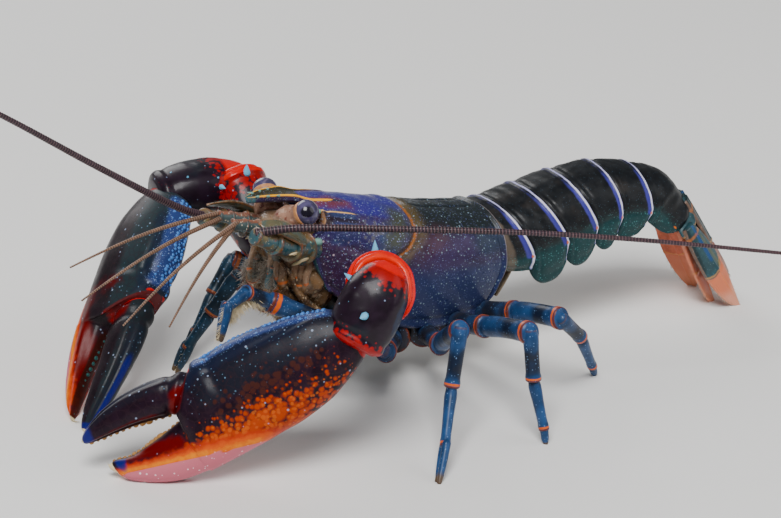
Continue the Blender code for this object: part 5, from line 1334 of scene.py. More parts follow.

# %% [markdown]
# ## Arms
#
# The arm behind each claw is three articles: a short base, the merus, which swells toward its far
# rim and carries spines, and the knobbly carpus. Every rim is thick and vermilion where soft skin
# folds out of the joint. Each article is a loft whose widths are keys. Beyond the rim of the merus
# a few shrunken rows make the folded lip; their ring values also paint a highlight on its crests
# and shade in its groove.

# %% Arms
BASE = [(0, 3, 3.2), (0.08, 3.9, 4.3), (0.4, 3.7, 4), (0.52, 4, 4.4), (0.58, 3.1, 3.4), (0.66, 3.3, 3.6),
    (0.9, 3.6, 3.9), (0.97, 3.7, 4), (1, 3.1, 3.3)]
MERUS = [(0, 2.2, 2.5), (0.05, 2.9, 3.2), (0.12, 3.2, 3.6), (0.18, 3.1, 3.5), (0.35, 4.1, 4.7),
    (0.6, 4.9, 5.6), (0.82, 5.35, 6), (0.9, 5.5, 6.1), (0.95, 6, 6.6), (0.985, 6, 6.6), (1, 5.3, 5.9)]
# rows of the lip: share of the rim's radius, shift along the arm, and ring value; a ring value above one is a
# painted highlight on a crest, below one painted shade in the groove
LIP_AND_PAINTED_LIGHT = [(1.03, 0.35, 1), (1, 0.8, 1), (0.92, 1.15, 1.15), (0.84, 1.2, 1.2), (0.77, 0.9, 1), (0.72, 0.4, 0.75),
    (0.68, 0.5, 0.8), (0.62, 1, 1.05), (0.54, 1.2, 1.1), (0.45, 0.9, 1), (0.38, 0.2, 0.9)]
CARPUS = [(0, 1.6, 1.4), (0.08, 3.4, 3), (0.2, 4.6, 4), (0.38, 5.5, 4.8), (0.6, 5.72, 5), (0.78, 5.5, 4.8),
    (0.86, 5.2, 4.5), (0.92, 5.3, 4.7), (0.97, 4.9, 4.3), (1, 3.9, 3.4)]


def arm_base(side):
    """Two short articles in one loft, with a pale band and two rims."""
    u, _, grid = article(ARMS[side]["coxa"], ARMS[side]["elbow"], UP, BASE)
    return [shell(grid, {"ring": bell(u, 0.97, 0.02) + bell(u, 0.52, 0.03), "pale": bell(u, 0.8, 0.12) * 0.8})]


def merus(side):
    """Swelling article with its folded lip, three spines on top and two rows of knobs below."""
    near = side == "left"
    elbow, rim = np.array(ARMS[side]["elbow"]), np.array(ARMS[side]["merus"])
    arm = rim - elbow
    way = unit(arm)
    u, centre, grid = article(elbow - arm * 0.1, rim, UP, MERUS, 90)
    grid = displace(grid, centre[:, None], 0.07 * ripple(grid, 4, 7))
    lip = [rim + (grid[-1] - rim) * share + way * shift for share, shift, _ in LIP_AND_PAINTED_LIGHT]
    # the ring mark: the red rim, then each lip row's value, which paints highlights and shade on the lip
    red = np.hstack([step(0.925, 0.95, u), [shade for _, _, shade in LIP_AND_PAINTED_LIGHT]])
    u = np.hstack([u, np.ones(len(LIP_AND_PAINTED_LIGHT))])
    high, ahead = np.sin(circle(64)), u[:, None]
    body = shell(np.vstack([grid, lip]), {
        "ring": red, "ends": step(0.6, 0.9, u) + step(0.25, 0.1, u),
        "net": step(0.2, -0.5, high) * step(0.1, 0.3, ahead),
        "crest": 0.8 * near * bell(high, 1, 0.2) * bell(ahead, 0.5, 0.25)})
    _, top = frames(way)
    spots = np.array([0.93, 0.72, 0.53])
    lifts = profile([(0.3, 4.4), (0.55, 5.3), (0.8, 5.8), (0.93, 6.2)], spots)
    thorns = spines(elbow + np.outer(spots, arm) + np.outer(lifts, top), top + way * 0.6,
        (2.6 if near else 1.7, 1.3, 1), (0.8, 0.55, 0.45))
    t = np.linspace(0.25, 0.9, 8)
    low = elbow + np.outer(t, arm) - np.outer(profile([(0.2, 4), (0.9, 5.9)], t), top)
    return [body, thorns] + [knobs(low + np.cross(way, top) * aside, -top, 0.55) for aside in (-2.2, 2.2)]


def carpus(side):
    """Knobbly article with a furrow along its back, red ends and five thorns toward the claw."""
    near = side == "left"
    along, back, inner = claw_frame(side)
    elbow, rim, wrist = (np.array(ARMS[side][key]) for key in ("elbow", "merus", "wrist"))
    way = unit(wrist - rim)
    start = rim - way * (3.4 if near else 4) + unit(rim - elbow) * (3 if near else 1)
    stop = wrist + way * 2.5
    front_red, root_red = (0.6, 0.14) if near else (0.15, 0.33)
    u, centre, grid = article(start, stop, back, CARPUS, 80, 80, 0.92, 0.8, back)
    angle, ahead = circle(80), u[:, None]
    furrow = bell(np.sin(angle), 0.98, 0.12) * bell(ahead, 0.5, 0.28)
    lumps = np.clip(ripple(grid, 2.6, 9), 0.3, 1) - 0.3
    grid = displace(grid, centre[:, None], -0.35 * furrow + 0.1 * lumps * bell(ahead, 0.5, 0.3))
    body = shell(grid, {
        "ring": front_red * step(0.9, 0.94, u) + step(root_red, root_red - 0.08, u),
        "ends": 1.25 * front_red * step(0.76, 0.92, u) + step(root_red + 0.24, root_red - 0.04, u),
        "crest": step(0.7, 0.95, np.cos(angle) * (-1 if near else 1)) * bell(ahead, 0.5, 0.25)})
    middle = mix(start, stop, 0.55)
    # each thorn: millimetres along the arm, toward the inner edge and out of the back; then its way
    spots = np.array([(0, 5.2, 0), (3, 4.4, -1), (1, 0, 5.5), (-1.5, 4.6, 2), (2.6, 3.6, 3.4)])
    ways = np.array([(0.4, 1, 0), (1, 0.8, 0), (0.5, 0, 1), (0, 1, 0.5), (0, 0.7, 0.7)])
    thorns = spines(middle + spots @ (way, inner, back), ways @ (along, inner, back),
        (2.6, 2.4, 1.5, 1.2, 1.2), (0.85, 0.8, 0.7, 0.55, 0.5))
    return [body, thorns]


print("arm shapes ready")

# %% [markdown]
# The arms are dark plum like the claws. Red cells thicken toward both ends of an article and run
# into a glossy vermilion rim, because wet soft skin shines more than shell. The brightest orange on
# the rim is ragged orange mottling, and on the crests of the merus lip a painted highlight.

# %% Arm finish
f = Finish("arm_shell", (28, 16, 28), roughness=0.36, coat=0.16, specular=0.16)
f.cloud((18, 24, 32), 0.5, 0.66, 6, 0.8)
f.islands((150, 20, 8), "ends", 0.95, 0.8, 0.95, 0.7)
f.islands((150, 44, 14), "net", 1.2, 0.7, 0.85)
f.stain((26, 44, 72), "crest", 0.4, 0.8, 0.5, 1.4, 0.6)
f.dots((140, 156, 184), 1.3, 0.17, None, 0.75, 0.4)
f.stain((140, 12, 6), "ring", 0.25, 0.5, 0.6, 1.6, 0.97)
# bright red, held back in the merus lip's groove so that the deep red beneath shows there as painted shade
f.smooth = f.stain((204, 28, 4), "ring", 0.5, 0.95, 0.6, 1.8, 0.95)
# orange past one: ragged mottling on each rim, and a painted highlight on the merus lip's crests
f.stain((232, 70, 20), "ring", 0.95, 1.3, 0.5, 1.3, 0.8)
f.stain((120, 190, 225), "tooth", 0.3, 0.6, 0.2, 0.6, 0.95)
f.stain((60, 110, 170), "knob", 0.3, 0.6, 0.2, 0.6, 0.9)
f.grain(0.6, 0.5)
f.pits(0.6, 0.4)
arm_finish = f.done(bump=0.2, depth=0.12, spread=0.03)

# %% [markdown]
# The joints of the legs are the points of the pose, six to a leg from hip to foot. Hairs stand on
# the lower articles, and the front left leg, folded in front of the chest, has a dense brush on its
# hollow side.

# %% Legs
LEGS = {
    "leg2_left": [(-21, -4.6, 8.8), (-30, -14.2, 10.8), (-49.7, -5.7, 22.6), (-55.4, -7.6, 26.4),
        (-60.8, -9.7, 25.4), (-63, -10.7, 20)],
    "leg3_left": [(-15.5, -4, 8.4), (-20.6, -18, 11.2), (-27.7, -33.6, 21.4), (-30.6, -35.2, 12),
        (-36.5, -41.3, 4.4), (-40.4, -44.7, -0.4)],
    "leg4_left": [(-10.2, -4, 8.4), (-13.8, -22.5, 14.6), (-16, -38.6, 19.7), (-16.2, -40, 11.3),
        (-15.9, -43, 2.6), (-15.8, -43.5, -0.4)],
    "leg5_left": [(-4.8, -3.6, 8.8), (-5, -20, 14.4), (-4, -32.4, 17.2), (2.4, -30.2, 11.2),
        (8.2, -27, 2.4), (9.8, -26, -0.4)],
    "leg2_right": [(-21, 4.6, 8.8), (-30, 14, 11), (-48, 8.5, 21.5), (-52, 10.5, 15),
        (-56, 13, 8), (-58, 14.2, 3.2)],
    "leg3_right": [(-15.5, 4, 8.4), (-22, 18, 9.8), (-38, 26.2, 17), (-42.8, 25.4, 11.4),
        (-48, 23.6, 5.2), (-51.6, 23, -0.4)],
    "leg4_right": [(-10.2, 4, 8.4), (-14.6, 19, 14.6), (-17, 34, 20.8), (-15.6, 37.6, 11.6),
        (-14.4, 40.6, 3), (-14, 41.2, -0.4)],
    "leg5_right": [(-4.8, 3.6, 8.8), (-4, 18, 14), (-2, 29.4, 18), (4, 28.6, 10.8),
        (9, 27.4, 2.6), (10.4, 27, -0.4)],
}
LEG_UP = (1, 0, 0.2)
TOE = [(0, 0.5), (0.1, 0.78), (0.4, 0.7), (0.75, 0.5), (0.95, 0.4), (1, 0.22)]


def toes(wrist, tip, spread):
    """The two fingers of a small pincer, a spread apart, or with no spread the single hind claw."""
    ahead = unit(tip - wrist)
    way = unit(np.cross(ahead, LEG_UP)) * spread
    out = []
    for aside in ((-way, way) if spread else (way,)):
        end = tip + aside * 0.85
        u, _, grid = rod([wrist - ahead * 1.2 + aside, wrist + ahead * 1.4 + aside * 1.25,
            mix(wrist, tip, 0.75) + aside, end], LEG_UP, TOE, 26, 16)
        out.append(shell(grid, {"claw_tip": step(0.35, 0.9, u)}, end=end))
    return out


def leg(name, brush):
    """Coxa, base, thigh and two lower articles from joint to joint, then toes and hairs."""
    hip, knee_root, knee, shin, wrist, tip = joints = np.array(LEGS[name])
    front = name[3] in "23"
    thick = 1.72 if front else 1.82
    sign = -1 if "left" in name else 1
    rng = np.random.default_rng(SEED + int(name[3]) * 2 + (sign > 0))
    way = unit(np.diff(joints, axis=0))
    shells = [
        limb(hip + (0, sign * 0.4, 1), mix(hip, knee_root, 0.3), UP, 2.9, 2.8, 1.1, 30, 30, 0.12,
            marks={"hip": 1}),
        limb(mix(hip, knee_root, 0.22), knee_root + way[0] * 0.7, UP, 1.8, 1.72, 1.1, marks={"hip": 0.55}),
        limb(knee_root - way[1], knee + way[1] * 0.4, UP, thick * 0.96, thick * 0.94, 1.12, 60, 32, 0.12, 0.35,
             (0.66, 0.15)),
        limb(knee - way[2] * 1.1, shin + way[2] * 0.4, LEG_UP, 1.5, 1.38, 0.92, 44, 28, 0.1, 0, (0.62, 0.32)),
        limb(shin - way[3] * 0.7, wrist + way[3] * 0.3, LEG_UP, 1.24, 0.98, 0.9, 44, 26, 0.08, 0, (0.05, 0.14)),
        *toes(wrist, tip, 0.62 if front else 0)]
    count = 260 if brush else 110 if front else 70
    lean = unit(tip - shin) * 0.8 + (-0.1, 0.1, -0.35)
    shells.append(tuft([shin, mix(shin, wrist, 0.5), wrist, tip], (0.8, 2.2) if brush else (0.5, 1.2),
        count, lean, 0.55, 0.035, rng, (0.35, 0.97)))
    if brush:
        bend = np.array([mix(knee, shin, -0.3), shin, wrist, mix(wrist, tip, 0.6)]) + (0.9, 0.6, -0.75)
        shells.append(tuft(bend, (1.4, 3.4), 1500, (0.35, 0.05, -1), 0.26, 0.085, rng, (0, 0.72)))
    return shells


# %% [markdown]
# The legs are blue with darker shafts, an orange ring at each joint and pale hairs. The far legs
# are darker, as they stand in the body's shade.

# %% Leg finish
def leg_finish(name, ground, dark, ring):
    """One recipe for near and far legs, each with its own ground, dark shaft and ring colour."""
    f = Finish(name, ground, roughness=0.36, coat=0.05, specular=0.22)
    f.stain(dark, "shaft", 0.25, 0.95, 0.9, 2.2, 0.92)
    f.cloud((34, 34, 38), 0.56, 0.7, 3, 0.5)
    f.stain((52, 46, 44), "hip", 0.3, 0.9, 0.8, 2, 0.85)
    f.dots((116, 146, 184), 0.5, 0.3, None, 0.7, 0.4)
    f.stain((120, 136, 148), "pale", 0.5, 0.9, 0.6, 1.2, 0.6)
    f.stain((104, 46, 24), "joint", 0.35, 0.8, 0.8, 0.9, 0.9)
    f.stain(ring, "ring", 0.4, 0.75, 0.7, 0.8, 0.95)
    f.stain((96, 62, 44), "root", 0.5, 1, 0.9, 0.8, 0.45)
    f.stain((90, 72, 50), "claw_tip", 0.4, 0.8, 0.4, 1, 0.9)
    f.stain((236, 220, 186), "hair", 0.3, 0.6, 0)
    f.grain(0.4, 0.5)
    f.pits(0.45, 0.35)
    return f.done(bump=0.25, depth=0.1, spread=0.05)


near_leg = leg_finish("near_leg_shell", (36, 66, 106), (20, 26, 40), (214, 100, 30))
far_leg = leg_finish("far_leg_shell", (26, 48, 64), (18, 28, 36), (132, 74, 44))
for side, _ in SIDES:
    piece(f"arm_base_{side}", arm_base(side), near_leg, [f"claw_{side}_ischium"])
    piece(f"merus_{side}", merus(side), arm_finish, [f"claw_{side}_merus"])
    piece(f"carpus_{side}", carpus(side), arm_finish, [f"claw_{side}_carpus"])
for name in LEGS:
    piece(name, leg(name, name == "leg2_left"), near_leg if "left" in name else far_leg,
        [f"{name}_upper", f"{name}_lower"])

# %% [markdown]
# ## Eyes
#
# A crayfish eye is a ball of tiny lenses on a movable fleshy stalk. The ball is a sphere function
# with a flattened base, and its finish has fine cells, a dark spot where one looks straight down
# the lenses, and a pale ring round it. The stalk is a loft with a thick collar under the ball.

# %% Eye finishes
f = Finish("eye_lens", (74, 68, 96), roughness=0.14, coat=0.4)
f.cloud((92, 86, 122), 0.45, 0.7, 1.2, 0.5)
f.stain((112, 100, 120), "iris", 0.5, 0.95, 0.2, 0.5, 0.6)
f.stain((18, 14, 26), "pupil", 0.2, 0.8, 0.12, 0.5, 0.97)
f.stain((186, 124, 78), "socket", 0.3, 0.7, 0.3, 0.5, 0.9)
f.pits(0.12, 0.4)
eye_finish = f.done(bump=0.2, depth=0.04, spread=0.05)
f = Finish("stalk_skin", (176, 136, 116), roughness=0.36, coat=0.2)
f.cloud((128, 92, 78), 0.48, 0.64, 2.4, 0.7)
f.cloud((206, 178, 160), 0.56, 0.68, 1.5, 0.6)
f.cloud((104, 40, 34), 0.56, 0.66, 1.05, 0.75)
f.stain((196, 138, 92), "collar", 0.4, 0.8, 0.3, 0.6, 0.8)
f.dots((206, 178, 160), 0.5, 0.3, None, 0.5)
f.grain(0.4, 0.5)
stalk_finish = f.done(bump=0.2, depth=0.08)

# %% Eyes and stalks
EYE_RADIUS, EYE_FLAT = 2.3, 0.88
STALK = [(0, 1.6), (0.08, 2.3), (0.35, 2.55), (0.6, 2.2), (0.72, 2), (0.86, 2.2), (0.95, 2.25), (1, 2)]
latitude = np.linspace(-0.5 * np.pi, 0.5 * np.pi, 50)[1:-1, None, None]
longitude = circle(64)[:, None]
for side, s in SIDES:
    ball = np.array([-42, s * 7, 38.3])
    root = np.array([-44.2, s * 1.8, 35.2])
    pole = unit(ball - root)
    gaze = unit(np.array([-0.46, s * 0.8, 0.38]))
    across, upward = frames(pole)
    # rows of latitude round the pole: ring * cos of the latitude + pole * flattened sin of it
    ways = ((across * np.cos(longitude) + upward * np.sin(longitude)) * np.cos(latitude)
        + pole * EYE_FLAT * np.sin(latitude))
    looks = unit(ways * (1, 1, 1.35)) @ unit(gaze * (1, 1, 1.2))
    eye = shell(ball + ways * EYE_RADIUS, {"pupil": step(0.72, 0.98, looks),
        "iris": bell(unit(ways) @ gaze, 0.1, 0.14), "socket": step(-0.2, -0.7, unit(ways) @ pole)})
    piece(f"eyeball_{side}", [eye], eye_finish, [f"eye_{side}"])
    u = np.linspace(0, 1, 44)
    fat = profile(STALK, u)
    stalk = loft(mix(root, ball - pole * 0.3, u[:, None]), across, upward, fat * 1.05, fat, 40)
    piece(f"stalk_{side}", [shell(stalk, {"collar": step(0.8, 0.9, u)})], stalk_finish, [f"eyestalk_{side}"])

# %% [markdown]
# ## Feelers
#
# Each antenna has a stem of three stout articles, a leaf-like scale beside it, and a whip that is
# longer than the body and made of hundreds of short rings. The rings are real geometry: the tube's
# radius swells once every half millimetre, and a stored wave of the same length colours them. The
# four antennules between the antennae are thinner and softer.

# %% Whips
FEELERS = {
    "left": {
        "stem": [(-42, -6.4, 31.2), (-46, -7.6, 32.6), (-50, -8.4, 34.6), (-53.6, -8.2, 36.8)],
        "whip": [(-53.6, -8.2, 37.4), (-46.8, -12, 38), (-32.1, -18.5, 36.6), (-9, -29, 34),
                 (11.5, -38, 30.7), (36.5, -46, 25.1), (51, -50, 21.6)],
        "tips": [(-83, -13, 29), (-77, -18, 29)],
    },
    "right": {
        "stem": [(-42, 6.4, 31.2), (-46.6, 7.4, 32.6), (-51.4, 7, 34.4), (-56, 5.2, 36.6)],
        "whip": [(-55.8, 5.3, 36.6), (-64, 3, 41.6), (-82, -2.6, 54.6), (-100, -8, 68),
                 (-118, -13, 80.5), (-137, -17, 90)],
        "tips": [(-86, -0.5, 36), (-88, -8, 33)],
    },
}


def whip(path, halves, pitch, depth, columns=10, per_ring=4, fine=2000):
    """Tube along a curve; its radius is a taper times 1 + depth * |sin| of the length over the pitch."""
    shares = np.linspace(0, 1, fine)
    steps = np.linalg.norm(np.diff(spline(path, shares), axis=0), axis=1)
    length = np.hstack([[0], np.cumsum(steps)])
    run = np.linspace(0, length[-1], int(length[-1] / pitch * per_ring))
    t = np.interp(run, length, shares)
    centre = spline(path, t)
    wave = np.abs(np.sin(np.pi * run / pitch))
    half = profile(halves, t) * (1 + depth * wave)
    return shell(loft(centre, *frames(np.gradient(centre, axis=0), (0.1, 0.2, 1)), half, half, columns),
        {"bead": wave, "far": t})


print("whips from", FEELERS["left"]["whip"][0])

# %% [markdown]
# A whip is brown-black with a paler bead on each ring. The stems are olive with teal clouds and
# an orange flush at the joints, the antennules warm and thinly ringed.

# %% Feeler finishes
f = Finish("whip_shell", (38, 24, 34), roughness=0.44)
f.stain((120, 92, 94), "bead", 0.76, 1, 0.2, 1, 0.75)
f.stain((84, 54, 54), "far", 0.5, 1.2, 0.5, 6, 0.6)
f.grain(0.3, 0.4)
whip_finish = f.done(bump=0.2, depth=0.05)
f = Finish("feeler_stem", (98, 88, 62), roughness=0.34, coat=0.25)
f.cloud((46, 86, 96), 0.44, 0.58, 1.7, 0.9)
f.stain((130, 100, 68), "top", 0.4, 0.95, 1, 1, 0.6)
f.cloud((150, 70, 40), 0.6, 0.7, 0.9, 0.5)
f.stain((188, 66, 30), "flame", 0.3, 0.9, 1.1, 1.4, 0.85)
f.dots((176, 170, 150), 0.5, 0.32, None, 0.6, 0.4)
f.stain((96, 62, 42), "joint", 0.4, 0.75, 0.8, 1.2, 0.6)
f.stain((176, 92, 52), "ring", 0.5, 1, 1, 0.8, 0.6)
f.stain((226, 206, 164), "tooth", 0.3, 0.6, 0.2, 0.5, 0.95)
f.stain((206, 120, 56), "leaf_edge", 0.4, 0.8, 0.3, 0.8, 0.7)
f.stain((92, 92, 74), "leaf", 0.4, 0.8, 0.5, 1.8, 0.6)
f.stain((140, 122, 104), "hair", 0.3, 0.6, 0)
f.grain(0.4, 0.5)
f.pits(0.5, 0.3)
stem_finish = f.done(bump=0.3, depth=0.1)
f = Finish("antennule_skin", (90, 68, 56), roughness=0.42)
f.stain((60, 84, 86), "root_zone", 0.3, 0.8, 0.9, 1.1, 0.8)
f.stain((160, 88, 56), "top", 0.6, 1.1, 1.3, 0.8, 0.6)
f.stain((172, 136, 112), "bead", 0.7, 1, 0.2, 1, 0.6)
f.stain((184, 88, 50), "ring", 0.5, 0.95, 0.9, 0.8, 0.6)
f.dots((206, 194, 172), 0.5, 0.34, "root_zone", 0.75, 0.5)
f.grain(0.3, 0.4)
antennule_finish = f.done(bump=0.2, depth=0.05)

# %% [markdown]
# The scale is a thin leaf with one rib beside each edge and hairs along its inner edge. An
# antennule is three small articles with two fine whips that curve up by a sine.

# %% Antennae and antennules
SCALE_HALF = [(0, 1.3), (0.2, 1.95), (0.5, 2.05), (0.75, 1.6), (0.92, 0.9), (1, 0.1)]


def stem(joints, s):
    """Four limbs from joint to joint and three thorns on the outer side."""
    first, second, *_ = joints
    ways = unit(np.diff(joints, axis=0))
    shells = [limb(first + (2, -s * 1.2, -0.4), first + ways[0] * 1.4, UP, 2.9, 2.9, 1, 30, 34, 0.1)]
    for k, (half, far, flame) in enumerate(((2.4, 2.45, 0), (2.05, 2.05, 0.25), (1.65, 1.55, 0.8))):
        shells.append(limb(joints[k] - ways[k] * 0.7, joints[k + 1] + ways[k] * 0.35, UP, half, far,
            0.95, 34, 34, 0.12, marks={"flame": flame}))
    roots = [first + (-1.5, s * 2, -0.9), second + (-0.4, s * 1.9, -0.3), first + (-2.4, s * 1.2, -1.7)]
    return shells + [spines(roots, [(-1, s * 0.35, -0.1), (-1, s * 0.3, 0.1), (-1, s * 0.1, -0.2)],
        (2.3, 1.4, 1.6), (0.55, 0.4, 0.45))]


def scale(joints, s, rng):
    """Thin loft with a pointed end; one rib beside each edge by a bell curve of the angle's cosine."""
    root = joints[0] + (-1.4, s * 1.8, 2.2)
    tip = np.array([joints[3][0] + 1.6, s * 6.8, joints[3][2] + 1.5])
    along = unit(tip - root)
    across, upward = frames(along, (0, s * 0.5, 1))
    core = lambda u: mix(root, tip, u[:, None]) + np.outer(0.9 * np.sin(np.pi * u), upward)
    u = runs((0, 0.9, 40), (0.9, 0.995, 12))
    thin = profile([(0, 0.6), (0.5, 0.42), (1, 0.2)], u)
    aside, ahead = np.abs(np.cos(circle(44))), u[:, None]
    grid = loft(core(u), across, upward, profile(SCALE_HALF, u), thin, 44, 0.9)
    grid = displace(grid, core(u)[:, None], 0.16 * bell(aside, 0.62, 0.12) * np.sin(np.pi * ahead))
    body = shell(grid, {"leaf": 1, "leaf_edge": step(0.82, 0.97, aside) + step(0.9, 1, ahead)}, end=tip)
    inward = -across * np.sign(across[1] * s)
    count = 120
    t = rng.uniform(0.15, 0.98, count)
    ways = inward * 0.9 + along * 0.7 + 0.15 * rng.normal(size=(count, 3))
    roots = core(t) + np.outer(profile(SCALE_HALF, t) * 0.98, inward)
    return [body, bristles(roots, ways, rng.uniform(0.7, 1.5, count), 0.03)]


def antennules(tips, s):
    """Three limbs and two whips, each along a straight line raised by a sine."""
    end = np.array([-54.6, s * 2.4, 37.4])
    first, second = np.array([(-45, s * 2, 34), (-49.4, s * 2.2, 35.6)])
    shells = [limb(first, second + (-0.3, 0, 0.1), UP, 1.5, 1.4, 0.95, 30, 26, 0.1),
        limb(second + (0.5, 0, -0.2), mix(second, end, 0.6), UP, 1.3, 1.2, 0.95, 30, 26, 0.1),
        limb(mix(second, end, 0.5), end + (-0.2, 0, 0), UP, 1.15, 1.05, 0.95, 26, 26, 0.1)]
    t = np.linspace(0, 1, 9)[:, None]
    for turn, tip in zip((1, -1), tips):
        root = end + (0.8, s * 0.35 * turn, 0.3 * turn)
        shells.append(whip(mix(root, tip, t) + (0, 0, 1.2) * np.sin(np.pi * t),
            [(0, 0.46), (0.4, 0.33), (1, 0.14)], 0.5, 0.18, 8))
    return shells


for side, s in SIDES:
    pose = FEELERS[side]
    joints = np.array(pose["stem"])
    rng = np.random.default_rng(SEED + 40 + (s > 0))
    piece(f"antenna_stem_{side}", stem(joints, s), stem_finish, [f"antenna_{side}_stem"])
    piece(f"antenna_scale_{side}", scale(joints, s, rng), stem_finish, [f"antenna_{side}_scale"])
    long_whip = whip(pose["whip"], [(0, 0.78), (0.12, 0.64), (0.5, 0.47), (1, 0.22)], 0.62, 0.16)
    piece(f"antenna_whip_{side}", [long_whip], whip_finish,
        [f"antenna_{side}_whip_inner", f"antenna_{side}_whip_outer"])
    piece(f"antennule_pair_{side}", antennules(pose["tips"], s), antennule_finish, [f"antennule_{side}"])

# %% [markdown]
# ## Mouth and breast
#
# Under the rostrum the head ends in a brown frame that carries eyes, feelers and jaws, and the
# third pair of mouth legs folds up in front of it with a beard of bristles. Behind lies the narrow
# breast. Both are lofts through oval sections with folds pressed in along their normals; the mouth
# legs are flat articles.

# %% Mouth and belly finishes
f = Finish("mouth_shell", (116, 90, 64), roughness=0.3, coat=0.3)
# dark brown clouds: painted shade for the dark gaps between the mouth parts, laid as noise over the surface
f.cloud((62, 46, 36), 0.48, 0.62, 2.2, 0.85)
f.cloud((82, 98, 94), 0.54, 0.66, 3.1, 0.6)
# cream clouds: painted highlights on the mouth parts
f.cloud((214, 190, 158), 0.6, 0.72, 1.1, 0.75)
f.stain((52, 92, 100), "teal", 0.4, 0.8, 0.8, 2, 0.8)
f.stain((162, 132, 108), "skin", 0.3, 0.9, 0.9, 1.2, 0.7)
# pale cream dots: painted highlight dots
f.dots((200, 180, 150), 0.5, 0.32, None, 0.6, 0.5)
f.stain((120, 60, 36), "joint", 0.4, 0.75, 0.4, 1.2, 0.7)
f.stain((206, 104, 52), "ring", 0.45, 0.8, 0.4, 0.9, 0.7)
f.stain((222, 196, 156), "tooth", 0.3, 0.6, 0.2, 0.5, 0.9)
f.stain((150, 140, 128), "hair", 0.3, 0.6, 0)
f.grain(0.5, 0.6)
f.pits(0.6, 0.4)
mouth_finish = f.done(bump=0.35, depth=0.14)
f = Finish("belly_skin", (90, 88, 82), roughness=0.45)
f.cloud((52, 74, 92), 0.5, 0.66, 3, 0.8)
f.dots((150, 156, 156), 0.6, 0.3, None, 0.6, 0.4)
f.grain(0.6, 0.6)
belly_finish = f.done(bump=0.3, depth=0.14)

# %% [markdown]
# Two jaws bulge from the frame, and slim palps of the inner jaws hang side by side under the
# feelers. Each palp drifts from its neighbour by a few sines of its number.

# %% Mouth frame, jaws and palps
LEFT_RIGHT = (0, 1, 0)
JAW = [(0, 1.2), (0.1, 2), (0.5, 2.6), (0.85, 1.9), (0.97, 1.2), (1, 0.5)]
PALP = [(0, 0.5), (0.12, 0.9), (0.35, 0.75), (0.42, 0.95), (0.7, 0.7), (0.78, 0.84), (1, 0.25)]
# x and z of the frame's middle line, then half its width and half its depth
FRAME = np.array([(-35.5, 26.2, 6.6, 9.6), (-38.5, 26, 6.9, 10), (-41.5, 27.2, 6.4, 9.2), (-44.5, 29.6, 5.2, 7),
    (-46.6, 31.8, 3.8, 4.4), (-47.3, 33, 1.6, 1.8)])
x, z, wide, deep = spline(FRAME, np.linspace(0, 1, 90)).T
path = vectors(x, 0, z)
ring = loft(path, LEFT_RIGHT, UP, wide, deep, 110, 0.9)
folds = (0.35 * ripple(ring * [1, 1, 0.5], 3.2, 21)
    - 0.4 * bell(ring[..., 1], 0, 0.7) * step(31, 27, ring[..., 2]))
ring = displace(ring, path[:, None], folds)
shells = [shell(ring, {"skin": step(30, 33, ring[..., 2])})]
for _, s in SIDES:
    _, centre, jaw = rod([(-37, s * 5.2, 24.6), (-41, s * 5, 24.4), (-44.6, s * 3.4, 25.6)],
        UP, JAW, 40, 40, 1.08)
    shells.append(shell(displace(jaw, centre[:, None], 0.12 * ripple(jaw, 2, 23))))
    for k in range(6):
        x, y = -46.4 + 1.15 * k, s * (2.4 + 0.78 * k)
        p, q, r = np.sin(np.array([2.1, 3.7, 5.3]) * (k + 1) + s)
        palp = [(x, y, 31 - 0.5 * k), (x - 1.3 + 0.5 * p, y + 0.5 * s, 27.2 - 0.4 * k + 0.6 * q),
            (x - 0.4 + 0.7 * q, y + (0.1 + 0.4 * r) * s, 23 + 0.8 * p),
            (x + 1.6 + 0.9 * r, y - 0.6 * s, 19.9 + 1.3 * q)]
        u, _, grid = rod(palp, (0, s, 0.2), [(at, half * (1 + 0.16 * r)) for at, half in PALP], 30, 18, 0.8)
        shells.append(shell(grid, {
            "skin": 0.9 * bell(u, 0.2, 0.16) + 0.6 * (k % 2), "ring": bell(u, 0.42, 0.03)}))
piece("mouth", shells, mouth_finish, ["mouth_frame"])

# %% [markdown]
# A mouth leg folds up in front of the mouth in five articles. It has a row of spines below, a
# beard on both sides, and a thin ringed outer branch.

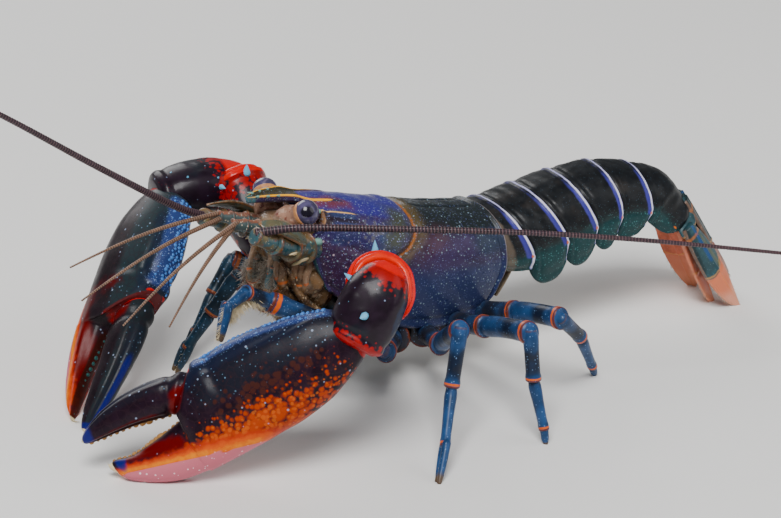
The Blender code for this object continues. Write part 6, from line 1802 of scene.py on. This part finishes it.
# %% Mouth legs
for side, s in SIDES:
    rng = np.random.default_rng(SEED + 60 + (s > 0))
    path = np.array([(-31, s * 3.2, 12.8), (-38.4, s * 3.6, 13.8), (-45, s * 3.4, 18.4), (-47.4, s * 3, 23.8),
        (-46.8, s * 2.8, 27.6), (-46, s * 2.6, 28.9)])
    shells = []
    for k, (half, far, teal) in enumerate(((2.1, 2.3, 0.7), (2.3, 1.9, 0), (1.7, 1.3, 0), (1.1, 0.9, 0.7),
            (0.85, 0.5, 0))):
        way = unit(path[k + 1] - path[k])
        shells.append(limb(path[k] - way * 0.5, path[k + 1] + way * 0.3, (0.3, s, 0.3), half, far,
            1.2, 36, 28, 0.1, marks={"teal": teal}))
    thorns = mix((-39, s * 4.8, 13.2), (-44.6, s * 5.4, 17.2), np.linspace(0, 1, 5)[:, None])
    shells.append(spines(thorns, (-0.4, s * 0.5, -0.8), 2.4, 0.36))
    shells.append(tuft(path[:5] + (0.6, -s, 0.8), (1.2, 3.6), 460, (-0.75, -s * 0.35, 0.15),
        0.4, 0.055, rng, (0.1, 1)))
    shells.append(tuft(path[:5] + (-0.6, s * 1.3, -0.4), (1, 2.6), 300, (-0.6, s * 0.6, -0.5), 0.4, 0.05, rng))
    branch = [(-33, s * 5.6, 14.6), (-38.6, s * 6, 17.6), (-43, s * 6, 22), (-44.8, s * 5.6, 26.6),
        (-46.6, s * 4.6, 29.4)]
    shells.append(whip(branch, [(0, 0.8), (0.5, 0.62), (1, 0.28)], 0.7, 0.12))
    piece(f"mouth_leg_{side}", shells, mouth_finish, [f"maxilliped_{side}"])

# %% [markdown]
# The breast lies between the legs. Its boxy sections hang from the carapace's lower edge, and a
# furrow crosses it between each two pairs of legs.

# %% Breast
LEG_GAPS = (-25.5, -18.2, -12.8, -7.5, -2.2)
x = np.linspace(-37, 1.2, 120)
deep = profile([(-37, 3.2), (-30, 4.6), (-20, 5), (-8, 4.4), (1.2, 3.6)], x)
half = profile([(-37, 3.6), (-34, 5.2), (-25, 6.6), (-10, 7), (-3, 6), (1.2, 4.6)], x)
path = vectors(x, 0, profile(CARAPACE_FLOOR, x) - 0.1 - deep * 0.5)
ring = loft(path, LEFT_RIGHT, UP, half, deep * 0.52, 60, 0.6)
between = sum(bell(x, v, 0.7) for v in LEG_GAPS)
ring = displace(ring, path[:, None], (-0.55 * between)[:, None] + 0.08 * ripple(ring, 3, 31))
piece("breast", [shell(ring)], belly_finish, ["underbody"])

# %% [markdown]
# ## Size
#
# Dressing the model doesn't change its size: every piece is clipped to the imported model's box.
# The number of finished pieces is printed.

# %% Count the pieces
print("pieces:", len(made))
